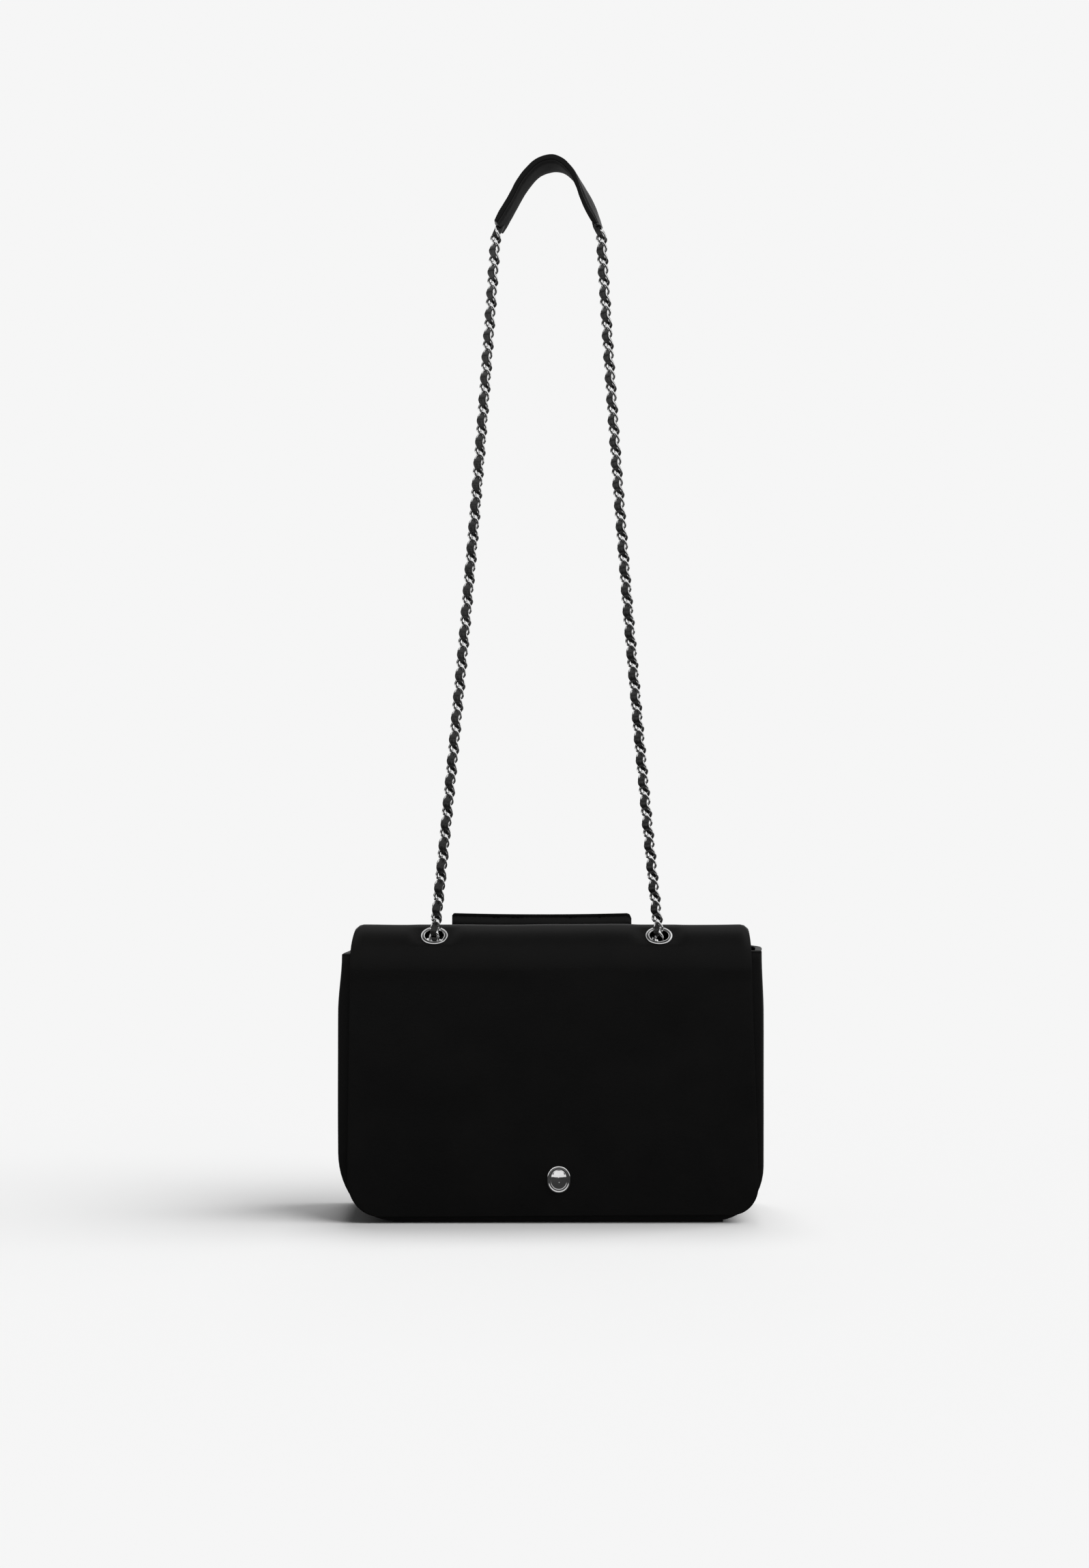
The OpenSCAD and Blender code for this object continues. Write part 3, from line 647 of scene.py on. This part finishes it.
def bandPath(half, inset, top):
    # Down the left side, round the corner, along the base and up the right side, with the outward direction
    low = body["low"] + inset
    path = []
    for sign, (wide, tall) in zip((-1, 1), body["corners"]):
        wide, tall = wide - inset, tall - inset
        leg = [(sign * half, mix(top, low + tall, k / 34), sign, 0) for k in range(34)]
        for k in range(19):
            a = radians(5 * k)
            out = Vector((cos(a) / wide, sin(a) / tall)).normalized()
            leg.append((sign * (half - wide + wide * cos(a)), low + tall - tall * sin(a),
                        sign * out.x, -out.y))
        leg += [(mix(leg[-1][0], 0, k / 30), low, 0, -1) for k in range(1, 30)]
        path += leg + [(0, low, 0, -1)] if sign < 0 else leg[::-1]
    return path


def bandSheet(name, half, inset, top, y, thickness, columns, edge, cut=0.0):
    path = bandPath(half, inset, top)
    rows = len(path) - 1
    foot = body["low"] + body["corners"][0][1]

    def place(across, along, depth):
        x, z, outX, outZ = path[round(along * rows)]
        across *= y
        if cut and z > foot:
            under = across - backMiddle[0]
            limit = backMiddle[1] + sqrt(max(0, cut ** 2 - under ** 2)) if under > 0 else top
            z = foot + (z - foot) * (min(top, limit) - foot) / (top - foot)
        return settle(x - depth * outX, across, z - depth * outZ)

    return cutSheet(name, columns, rows, place, thickness, edge)


frontPanel = wallSheet("frontPanel", body["front"], -1, body["half"] + body["proud"], 0, body["mouth"],
                       body["panel"], 90, 0.6, body["roll"])
inner = body["back"] - body["panel"]
gussetBand = bandSheet("gussetBand", body["half"], 0.2, body["mouth"], inner, body["panel"], 24, 0.3,
                       cut=body["backRadius"] - body["panel"])
dress(frontPanel, "body_leather", "bag", ("front_panel",))
dress(gussetBand, "body_leather", "bag", ("gusset_left", "gusset_right", "base_panel"))

# Sole: a stiff patch under the base, with square ends
sole = {"ends": (-93.5, 101.5), "deep": 36.6, "high": 1.6, "edge": 0.5}
soleBlock = added(bpy.ops.mesh.primitive_cube_add, size=1,
                  location=(sum(sole["ends"]) / 2 * mm, 0, sole["high"] / 2 * mm))
soleBlock.name = "sole"
soleBlock.scale = ((sole["ends"][1] - sole["ends"][0]) * mm, 2 * sole["deep"] * mm, sole["high"] * mm)
bpy.ops.object.transform_apply(location=True, rotation=True, scale=True)
bpy.ops.object.mode_set(mode="EDIT")
bpy.ops.mesh.subdivide(number_cuts=12)
bpy.ops.object.mode_set(mode="OBJECT")
finishWith(soleBlock, "BEVEL", width=sole["edge"] * mm, segments=3, limit_method="ANGLE")
smoothShade(soleBlock)
dress(soleBlock, "body_leather", "bag")

# Boards between the leather and the lining, cut to the same corners
boards = {"out": 35.95, "half": 121.3, "inset": 3.0, "top": 133.6, "thick": 1.5}
for name, node, facing in (("frontBoard", "front_board", -1), ("backBoard", "back_board", 1)):
    board = wallSheet(name, facing * boards["out"], facing, boards["half"], boards["inset"], boards["top"],
                      boards["thick"], 20, 0.2)
    dress(board, "board", "bag", (node,))

lap = {"end": 2.0, "dip": 1.46, "skived": 1.0}  # the back panel's end passes under the flap, thinned


def backStations(top, lapRows):
    # Heights up the wall, then the way round the fold and, for the panel, forward under the flap
    wall = [("wall", z) for z in panelStations(backMiddle[1]) if z >= top]
    turn = [("turn", radians(3.75 * k)) for k in range(1, 25)]
    if not lapRows:
        return wall + [station for station in turn if station[1] < radians(83)]
    return wall + turn + [("lap", mix(backMiddle[0], lap["end"], k / lapRows)) for k in range(1, lapRows + 1)]


def backPoint(x, station, depth):
    kind, value = station
    radius = body["backRadius"]
    eye = dist(backEye, backMiddle)
    if kind == "wall":
        return settle(x, body["back"] - depth, value)
    x = drawnIn(x, body["pull"][0][2])
    sink = droop(x)
    if kind == "turn":
        tilt = -radians(eyelets["backTilt"])
        reach = turnedFold(pi / 2 - value, radius, eye, tilt, depth, x, rearOff)
        reach -= sink * smooth(value, 0.3, 1.1)
        return x, backMiddle[0] + reach * cos(value), backMiddle[1] + reach * sin(value)
    fall = radians(flap["fall"])
    middleY, middleZ = flap["foldMiddle"]
    top = middleZ + flap["foldRadius"] / cos(fall) - (value - middleY) * tan(fall)
    under = smooth(backMiddle[0] - value, 0.3, 4.6)
    deep = depth * mix(1, lap["skived"] / body["panel"], under)
    top = mix(backMiddle[1] + radius, top, min(1, (backMiddle[0] - value) / 2))
    return x, value, top - lap["dip"] * under - deep - sink


def backSheet(name, half, top, depth0, thickness, lapRows, edge):
    stations = backStations(top, lapRows)
    rows = len(stations) - 1

    def place(across, along, depth):
        station = stations[round(along * rows)]
        wide = half
        swell = 0
        if station[0] == "wall":
            wide -= cornerInset(station[1], body["low"], handed(body["corners"], -across))
            swell = 0.9 * cos(across * pi / 2) * sin(pi * station[1] / backMiddle[1])
        x, y, z = backPoint(-across * wide, station, depth0 + depth)
        return x, y + swell, z

    return cutSheet(name, 90, rows, place, thickness, edge)


backHoles = [((eyeletX(s, rearOff), *backEye), eyelets["backTilt"]) for s in (-1, 1)]
backPanel = backSheet("backPanel", body["half"] + body["proud"], 0, 0, body["panel"], 12, 0.5)
punch(backPanel, backHoles)
dress(backPanel, "body_leather", ("bag", "flap_top"), ("back_panel",), (0, 23, 168.9), (0, 12, 168.9))
backFacing = backSheet("backFacing", 121.6, body["facingLow"], body["panel"] + 0.02, body["facing"], 0, 0.3)
punch(backFacing, backHoles)
dress(backFacing, "body_leather", "bag", ("back_facing",))


def alongMouth(along, wide, front, back):
    # Forward on the left, across the front and back on the right: the leg and the place on it
    plan = [(-wide, back), (-wide, front), (wide, front), (wide, back)]
    leg = min(2, int(along * 3))
    t = along * 3 - leg
    return leg, mix(plan[leg][0], plan[leg + 1][0], t), mix(plan[leg][1], plan[leg + 1][1], t)


def mouthPlace(across, along, depth):
    z = mix(body["mouth"], body["facingLow"], (across + 1) / 2)
    inward = 0.05 + depth
    x, y = alongMouth(along, body["half"] - body["panel"] - inward, inward - inner, inner)[1:]
    under = y - backMiddle[0]
    radius = body["backRadius"] - body["panel"] - body["facing"]
    limit = backMiddle[1] + sqrt(max(0, radius ** 2 - under ** 2)) if under > 0 else z
    return settle(x, y, min(z, limit))


mouthFacing = cutSheet("mouthFacing", 8, 96, mouthPlace, body["facing"], 0.3)
dress(mouthFacing, "body_leather", "bag", ("mouth_facing",))

# Binding: a thin leather strip turned over the mouth's edge, at the front and along both gussets
binding = {
    "in": 1.6,  # from the panels' outside to the strip's middle
    "end": 16.5,  # how far back it reaches along the gussets
    "half": 1.95,
    "rise": 0.62,
    "legs": 0.6,
    "round": 0.55,  # share of the strip that is bent over the edge
    "thick": 0.55,
}


def bindingPlace(across, along, depth):
    wide, front = body["half"] - binding["in"], body["front"] + binding["in"]
    leg, x, y = alongMouth(along, wide, front, binding["end"])
    half = binding["half"] - depth
    past = abs(across) - binding["round"]
    if past > 0:
        side, rise = copysign(half, across), -binding["legs"] * past / (1 - binding["round"])
    else:
        angle = across / binding["round"] * pi / 2
        side, rise = half * sin(angle), (binding["rise"] - depth) * cos(angle)
    outX, outY = (copysign(1, x), 0) if leg != 1 else (0, -1)
    if abs(x) > wide - 0.005 and y < front + 0.01:
        outX, outY = copysign(1, x), -1
    return settle(x + outX * side, y + outY * side, body["mouth"] + rise + 0.1)


mouthBinding = cutSheet("mouthBinding", 12, 150, bindingPlace, binding["thick"], 0.12)
dress(mouthBinding, "body_leather", "bag")

# Inside: a twill lining and a leather slip pocket on the back wall
inside = {"half": 121.3, "deep": 34.3, "inset": 3.0, "top": 134.0, "thick": 0.8}
liningCut = (inside["half"], inside["inset"], inside["top"])
liningParts = [
    *(wallSheet(name, facing * inside["deep"], facing, *liningCut, inside["thick"], 40, 0)
      for name, facing in (("liningFront", -1), ("liningBack", 1))),
    bandSheet("liningBand", *liningCut, inside["deep"], inside["thick"], 16, 0),
]
lining = joinAll("liningCloth", liningParts)
dress(lining, "lining_cloth", "bag", ("lining",))
pocket = {"half": 75, "low": 43, "top": 128, "wall": 33.4, "thick": 0.7, "mouthOpen": 2.6}


def pocketPlace(across, along, depth):
    z = mix(pocket["low"], pocket["top"], along)
    x = across * (pocket["half"] - 5 * (1 - min(1, along / 0.07)) ** 2)
    belly = pocket["mouthOpen"] * cos(across * pi / 2) * smooth(along, 0, 1)
    return x, pocket["wall"] - pocket["thick"] - 0.1 - belly + depth + 0.15 * unevenness(x, 0, z, 20), z


slipPocket = cutSheet("slipPocket", 50, 28, pocketPlace, pocket["thick"], 0.2)
dress(slipPocket, "body_leather", "bag", ("slip_pocket",))


def pocketSeam(t):
    # Down one side, along the bottom and up the other
    if t < 0.33:
        across, along = -0.965, mix(1, 0.06, t / 0.33)
    elif t < 0.67:
        across, along = mix(-0.93, 0.93, (t - 0.33) / 0.34), 0.03
    else:
        across, along = 0.965, mix(0.06, 1, (t - 0.67) / 0.33)
    return pocketPlace(across, along, 0.03), (0, -1, 0)


stitchRow("pocketStitches", pocketSeam, 90, "bag")
print("body made")

# Shoulder pad of the long strand: a padded strip bent over its middle, each half twisted a little
pad = {
    "top": 628.5,
    "sunk": 2.2,  # from the top down to the pad's middle line
    "off": 1.2,  # the pad sits a little to one side on the two strands
    "bend": 13.0,
    "leg": 36.5,
    "lean": 31.0,
    "half": 13.2,
    "thick": 4.3,
    "rim": 2.7,
    "groove": 0.8,  # share of the half width at which it is stitched
    "cornerRadius": 1.4,
    # Along the pad: share of its length from the top, x, z, twist in degrees and share of the thickness
    "line": ((-1.0, -31.2, 588.0, 7.5, 1), (-0.86, -27.6, 594.4, 6.6, 1), (-0.72, -24.1, 600.6, 5.8, 1),
             (-0.58, -20.8, 606.7, 6.0, 1), (-0.44, -17.5, 612.4, 6.8, 1), (-0.3, -13.2, 618.2, 6.2, 1),
             (-0.15, -7.5, 623.5, 5.2, 1), (0.0, -0.4, 626.0, 4.2, 1), (0.12, 5.4, 625.4, 0.6, 1),
             (0.24, 10.3, 622.4, -3.4, 1), (0.36, 14.4, 617.7, -6.4, 0.86), (0.5, 18.2, 611.2, -11.5, 0.76),
             (0.64, 21.2, 604.5, -14.6, 0.76), (0.78, 23.9, 598.2, -14.6, 0.8),
             (0.9, 26.5, 592.6, -12.0, 0.84), (1.0, 28.6, 588.6, -9.6, 0.84)),
}
padMiddle = (pad["off"] - strandOff, frontEye[0], pad["top"] - pad["sunk"] - pad["bend"])
padArc = radians(90 - pad["lean"])
padReach = pad["bend"] * padArc + pad["leg"]


def padLine(t):
    # A point of the pad's middle line, its outward direction, its twist and its share of the thickness
    x, z, twist, share = curveThrough(pad["line"], t)
    x1, z1 = curveThrough(pad["line"], max(-1, t - 0.01))[:2]
    x2, z2 = curveThrough(pad["line"], min(1, t + 0.01))[:2]
    out = Vector((z1 - z2, 0, x2 - x1)).normalized()
    return Vector((x, frontEye[0], z)), out, radians(twist), share


def padProfile(a, settings):
    # Half thickness at a share of the half width: a crown, a stitched groove and a thin rim
    crown = settings["thick"] / 2 * (1 - 0.2 * a * a)
    rim = settings["rim"] / 2
    groove = settings["groove"]
    filled = mix(crown, rim, smooth(abs(a), groove - 0.22, groove + 0.02))
    return filled - 0.32 * (1 - smooth(abs(abs(a) - groove), 0, 0.07))


def roundedHalf(half, corner, ends):
    # Half the width at a distance from the end, where the strip's corners are round
    return half - corner + sqrt(max(0, corner ** 2 - max(0, corner - ends) ** 2))


def padSurface(a, t, height):
    point, out, twist, share = padLine(t)
    ends = (1 - abs(t)) * padReach
    half = roundedHalf(pad["half"], pad["cornerRadius"], ends)
    side = cos(twist) * Vector((0, 1, 0)) - sin(twist) * out
    face = cos(twist) * out + sin(twist) * Vector((0, 1, 0))
    lift = padProfile(a, pad) * height * share * mix(0.7, 1, smooth(ends, 0, 6))
    pucker = 0.12 * unevenness(a * 9, height, t * padReach, 4.0)
    pucker += 0.25 * unevenness(a * 5, height * 3, t * 40, 11)
    return point + side * (-a * half) + face * (lift + pucker)


def paddedStrip(name, columns, rows, surface):
    def place(across, along, depth):
        a = 0.45 * across + 0.55 * sin(across * pi / 2)
        t = 2 * along - 1
        t = 0.7 * t + 0.3 * sin(t * pi / 2)
        return surface(a, t, 1 - 2 * depth)

    return cutSheet(name, columns, rows, place, 1, 0.5)


shoulderPad = paddedStrip("shoulderPad", 30, 90, padSurface)
dress(shoulderPad, "pad_leather", "strap", ("pad_cover", "pad_foam"))


def liningStrip(name, surface, height, columns, rows):
    # The matt lining lies on the pad's face, a little inside its edge
    def place(across, along, depth):
        a, t = 0.97 * across, 0.992 * (2 * along - 1)
        middle = Vector(surface(a, t, 0))
        top = Vector(surface(a, t, height))
        return top + (top - middle).normalized() * (0.35 - depth)

    return cutSheet(name, columns, rows, place, 0.5, 0.1)


padLining = liningStrip("padLining", padSurface, -1, 16, 80)
padLiningFinish = leatherMaterial("padLiningLeather", leatherLook["padInner"])
dress(padLining, "pad_leather", "strap", ("pad_lining",), finish=padLiningFinish)


def stitchLine(surface, share, height):
    def line(t):
        t = mix(-0.96, 0.96, t)  # the seam stops a little before the pad's ends
        out = Vector(surface(share, t, height)) - Vector(surface(share, t, -height))
        return surface(share, t, height), out

    return line


def stitchPad(name, surface, groove, edges, count, bodyName):
    # Two seams on each face, sunk in the grooves
    for face, height in (("Outer", 1), ("Inner", -1)):
        for edge, share in zip(edges, (groove, -groove)):
            stitchRow(name + face + edge, stitchLine(surface, share, height), count, bodyName)


stitchPad("padStitches", padSurface, pad["groove"], ("Front", "Rear"), 33, "strap")

# The rear strand's pad hangs upright against the upper back
rear = {
    "length": 111,
    "middle": (-rearOff, 40.3, 165.1),
    "half": 12.5,
    "thick": 4.6,
    "rim": 2.0,
    "groove": 0.82,
    "corners": (1.5, 3.2),  # left and right
}


def rearSurface(a, t, height):
    ends = (1 - abs(t)) * rear["length"] / 2
    half = roundedHalf(rear["half"], handed(rear["corners"], t), ends)
    x, y, z = rear["middle"]
    lift = padProfile(a, rear) * height * mix(0.62, 1, smooth(ends, 0, 7))
    pucker = 0.12 * unevenness(a * 9, height, t * 55, 4.0)
    pucker += 0.2 * unevenness(a * 5, height * 3, t * 50, 14)
    sag = -0.8 * (1 - t * t) + 0.4
    return Vector((x + t * rear["length"] / 2, y + lift + pucker, z + a * half + sag + 0.5))


rearPad = paddedStrip("rearPad", 26, 80, rearSurface)
dress(rearPad, "pad_leather", "rear_strap", ("rear_pad_cover", "rear_pad_foam", "rear_pad_lining"))
stitchPad("rearStitches", rearSurface, rear["groove"], ("Upper", "Lower"), 36, "rear_strap")

# Rear laces: from between the rear pad's faces over to the eyelets and down into them
rearLace = {
    "half": 2.2,
    "thick": 1.0,
    # Along the lace: share of its length from the pad, then x, y and z
    "line": ((0, 44, 40.3, 165.8), (0.3, 54, 40.3, 165.8), (0.55, 61, 39.2, 166.6), (0.75, 65, 35.4, 166.4),
             (0.88, 66.4, 32.2, 163.6), (1, 66.5, 30.0, 159.0)),
}


def rearLacePoint(side, t):
    x, y, z = curveThrough(rearLace["line"], t)
    return Vector((side * x - rearOff, y, z))


for side, hand in hands:
    def place(across, along, depth):
        point = rearLacePoint(side, along)
        run = rearLacePoint(side, min(1, along + 0.02)) - rearLacePoint(side, max(0, along - 0.02))
        run.normalize()
        flat = Vector((0, 0, 1)) - run.z * run
        flat = mix(flat, Vector((side, 0, 0)), smooth(along, 0.62, 0.85)).normalized()
        out = flat.cross(run).normalized() * side
        return point + flat * across * rearLace["half"] + out * (0.5 - depth) * rearLace["thick"]

    strip = cutSheet("rearLace" + hand.title(), 4, 40, place, 1, 0.2)
    dress(strip, "lace_leather", "rear_strap", ("rear_laces",) if side < 0 else ())
print("pads made")

# Long strand: curb links, all turned alike, along two legs that bow a little inwards
chain = {
    "wire": 1.7,
    "halfWidth": 2.5,
    "halfHeight": 4.05,
    "turn": -1.4,
    "filed": 2.05,  # half the thickness that filing the faces flat leaves
    "links": 67,
    "play": 0.12,
    "clear": 0.3,  # running clearance
    "bow": 2.2,
    "drift": (0.2, 2.0),  # left and right strand: how far the upper end lies to the right
    "twist": ((28, 44), (42, 46)),  # left and right strand, at the eyelet and at the pad, in degrees
    "wander": 4,  # degrees that the twist wanders by
}
padEndX = pad["bend"] * sin(padArc) + pad["leg"] * cos(padArc)
padEndZ = padMiddle[2] + pad["bend"] * cos(padArc) - pad["leg"] * sin(padArc)
legRun = eyelets["span"] / 2 - padEndX
legRise = padEndZ - frontEye[1]
legLength = hypot(legRun, legRise)
legLean = atan2(legRun, legRise)
legSpare = chain["clear"] + chain["wire"] / 2 + (chain["wire"] + chain["play"]) / 2
legPitch = (legLength - legSpare) / (chain["links"] - 0.5)


def legPoint(side, u):
    share = u / legLength
    x = side * (eyelets["span"] / 2 - legRun * share - 4 * chain["bow"] * share * (1 - share)) - strandOff
    x += handed(chain["drift"], side) * share ** 1.5
    return Vector((x, frontEye[0], frontEye[1] + u * cos(legLean)))


def legTurn(side, u):
    return -side * (legLean + atan(4 * chain["bow"] * (1 - 2 * u / legLength) / legLength))


def strandTwist(side, u):
    # How far the strand is turned about its own line, so that its face looks partly towards -X
    share = u / legLength
    low, high = handed(chain["twist"], side)
    return -radians(mix(low, high, share) + chain["wander"] * sin(9 * share + side))


def strandFrame(side, u):
    return Matrix.Rotation(legTurn(side, u), 4, "Y") @ Matrix.Rotation(strandTwist(side, u), 4, "Z")


def modelLink():
    # A ring of wire, bent out of its plane so that each link lies over the next
    link = added(bpy.ops.mesh.primitive_torus_add, major_segments=20, minor_segments=6, major_radius=1,
                 minor_radius=0.25)
    a, b, k = chain["halfWidth"], chain["halfHeight"], chain["turn"]
    for v in link.data.vertices:
        t = atan2(v.co.y, v.co.x)
        out, up = (hypot(v.co.x, v.co.y) - 1) / 0.25, v.co.z / 0.25
        middle = Vector((a * cos(t), k * sin(2 * t), b * sin(t)))
        along = Vector((-a * sin(t), 2 * k * cos(2 * t), b * cos(t))).normalized()
        side = along.cross(Vector((0, -1, 0))).normalized()
        rise = side.cross(along)
        v.co = (middle + (side * out + rise * up) * chain["wire"] / 2) * mm
        v.co.y = copysign(min(abs(v.co.y), chain["filed"] * mm), v.co.y)
    selectOnly(link)
    bpy.ops.object.mode_set(mode="EDIT")
    bpy.ops.mesh.select_all(action="SELECT")
    bpy.ops.mesh.normals_make_consistent(inside=False)
    bpy.ops.object.mode_set(mode="OBJECT")
    smoothShade(link, 60)
    return link


linkModel = modelLink()
for side, hand in hands:
    places = [Matrix.Translation(legPoint(side, i * legPitch) * mm) @ strandFrame(side, i * legPitch)
              for i in range(chain["links"])]
    strand = copiesOf("chain" + hand.title(), linkModel, places)
    dress(strand, "chain_metal", "strap", ("chain_" + hand,))
bpy.data.objects.remove(linkModel)

# The lace passes in front of one joint between two links and behind the next
lace = {
    "half": 2.55,
    "narrow": 2.25,  # where it passes through a link
    "thick": 1.0,
    "sway": 2.5,  # how far in front and behind it passes
    "lead": 0.3,  # makes it stay in front for longer than behind
    "aside": 0.5,
    "sewnIn": 13.0,  # the length inside the pad
    "rows": 6,  # of the sheet, for each link
    "endRows": 16,
}


def laceSheet(name, side):
    last = (chain["links"] - 1) * legPitch
    wovenRows = (chain["links"] - 1) * lace["rows"]
    count = wovenRows + lace["endRows"]
    lead = Vector((side * cos(padArc), 0, -sin(padArc)))
    end = Vector((padMiddle[0] + side * padEndX, frontEye[0], padEndZ))

    def place(across, along, depth):
        k = along * count
        u = k * legPitch / lace["rows"]
        share = u / legPitch
        swing = (sin(pi * share) + lace["lead"]) / (1 + lace["lead"])
        front = copysign(abs(swing) ** 0.75, swing)
        half = mix(lace["narrow"], lace["half"], smooth(abs(swing), 0.2, 0.8))
        half += 0.15 * unevenness(u, side, 0, 9)
        thick = (1 - depth * 2) * lace["thick"] / 2 * (1 - 0.25 * across * across)
        if u <= last:
            slope = 0.5 * cos(pi * share)
            out = Vector((0, -1, slope)).normalized()
            fold = 0.22 * exp(-((across - 0.15) / 0.3) ** 2) * max(0, front)
            free = smooth(u, 3, 11)  # drawn together where it leaves the eyelet
            half *= mix(0.82, 1, free)
            sway = lace["sway"] * mix(0.7, 1, free)
            offset = Vector((across * half + lace["aside"] * free, -front * sway, 0))
            offset += out * (thick - fold)
            return legPoint(side, u) + strandFrame(side, u).to_3x3() @ offset
        t = (k - wovenRows) / lace["endRows"]
        point = mix(legPoint(side, last), end - lead * lace["sewnIn"], t)
        out = Vector((side * sin(padArc), 0, cos(padArc)))
        turned = smooth(t, 0.1, 0.8)
        flat = mix(Vector((1, 0, 0)), Vector((0, -side, 0)), turned).normalized()
        return point + flat * across * half + mix(Vector((0, -1, 0)), out, turned).normalized() * thick

    return cutSheet(name, 8, count, place, 1, 0.2)


for side, hand in hands:
    dress(laceSheet("lace" + hand.title(), side), "lace_leather", "strap", ("lace_" + hand,))
print("long strand made")

# Stage: a pale floor that keeps the bag's shadow and fades into the white background
stage = {
    "white": 0.921,
    "floorTone": 0.915,
    "fadeStart": 0.50,
    "fadeEnd": 0.85,
    "darkRoom": 0.045,
    "screen": 0.85,
    "sideScreen": 1.0,
    "overhead": 0.70,
    "box": 0.70,
    "ambient": 0.10,
}


def seenDirectly(make):
    # Camera, glossy and transmission rays see the backdrop; for glossy rays, much of it is then made dark
    fromCamera = make.node("LightPath")
    glossy = fromCamera.output(3)
    return glossy, (fromCamera + glossy + fromCamera.output(6)).between(0.0, 0.5)


def stageMaterial():
    material, make, place = startMaterial("paleFloor")
    length = make.node("VectorMath", {"operation": "LENGTH"}, {0: place}, out=1)
    glossy, seen = seenDirectly(make)
    share = length.between(stage["fadeStart"], stage["fadeEnd"]) * seen
    parts = make.node("SeparateXYZ", {}, {"Vector": place})
    behind = parts.output(1)
    beside = make.node("Math", {"operation": "ABSOLUTE"}, {0: parts}).between(0.35, 0.8)
    light = behind.between(0.2, 0.8) + beside * behind.between(-0.5, -0.1) * stage["sideScreen"]
    dark = glossy * (1 - (light + length.between(1.6, 3.2)).between(0.0, 1.0))
    soft = make.noise(place, 3, 2)
    tone = make.blendColours(soft, grey(stage["floorTone"]), grey(stage["floorTone"] * 0.995))
    glowTone = make.blendColours(dark, grey(stage["white"]), grey(stage["darkRoom"]))
    floorShade = make.node("BsdfDiffuse", {}, {"Color": tone})
    glow = make.node("Emission", {}, {"Color": glowTone, "Strength": 1.0})
    far = 1 - (1 - share) * (1 - dark)
    both = make.node("MixShader", {}, {0: far, 1: floorShade, 2: glow})
    make.node("OutputMaterial", {}, {"Surface": both})
    return material


floor = added(bpy.ops.mesh.primitive_plane_add, size=40, location=(0, 0, -0.0002))
floor.name = "floor"
floor.data.materials.append(stageMaterial())

world = bpy.data.worlds.new("studio")
bpy.context.scene.world = world
world.use_nodes = True
make = Maker(world.node_tree)
glossy, seen = seenDirectly(make)
sideways = make.node("SeparateXYZ", {}, {"Vector": make.node("TexCoord", out=0)})
ahead = sideways.output(1)
upward = sideways.output(2)
# Reflections see a white wall behind, screens in front, at both sides and overhead, a bright box high up
# on the right, and a dark room elsewhere
level = 1 - upward.between(0.15, 0.50)
wall = ahead.between(0.10, 0.45) * level * sideways.between(-0.50, -0.20) * (1 - sideways.between(0.62, 0.85))
screen = (0 - ahead).between(0.30, 0.52) * stage["screen"]
aside = (sideways.between(0.82, 0.93) + (0 - sideways).between(0.82, 0.93)) * level * stage["sideScreen"]
over = upward.between(0.35, 0.75) * (1 - upward.between(0.90, 0.985)) * stage["overhead"]
box = (sideways * 0.54 + ahead * 0.18 + upward * 0.82).between(0.90, 0.95) * stage["box"]
screens = (wall + screen + aside + over + box).between(0.0, 1.0)
backdrop = make.blendColours(glossy * (1 - screens), grey(stage["white"]), grey(stage["darkRoom"]))
tone = make.blendColours(seen, grey(stage["ambient"]), backdrop)
sky = make.node("Background", {}, {"Color": tone, "Strength": 1.0})
make.node("OutputWorld", {}, {"Surface": sky})

# Both lamps are broad and far away, so the floor is lit evenly; reflections show the screens instead of them
lamps = {
    "key": {"from": (0.66, -0.14, 0.74), "spread": 63, "power": 2.70},
    "top": {"from": (0.01, 0.31, 0.95), "spread": 27, "power": 0.90},
}
for name, lamp in lamps.items():
    light = added(bpy.ops.object.light_add, type="SUN", location=lamp["from"])
    light.name = name
    light.rotation_euler = Vector(lamp["from"]).to_track_quat("Z", "Y").to_euler()
    light.data.angle = radians(lamp["spread"])
    light.data.energy = lamp["power"]
    light.visible_glossy = False
print("stage lit")
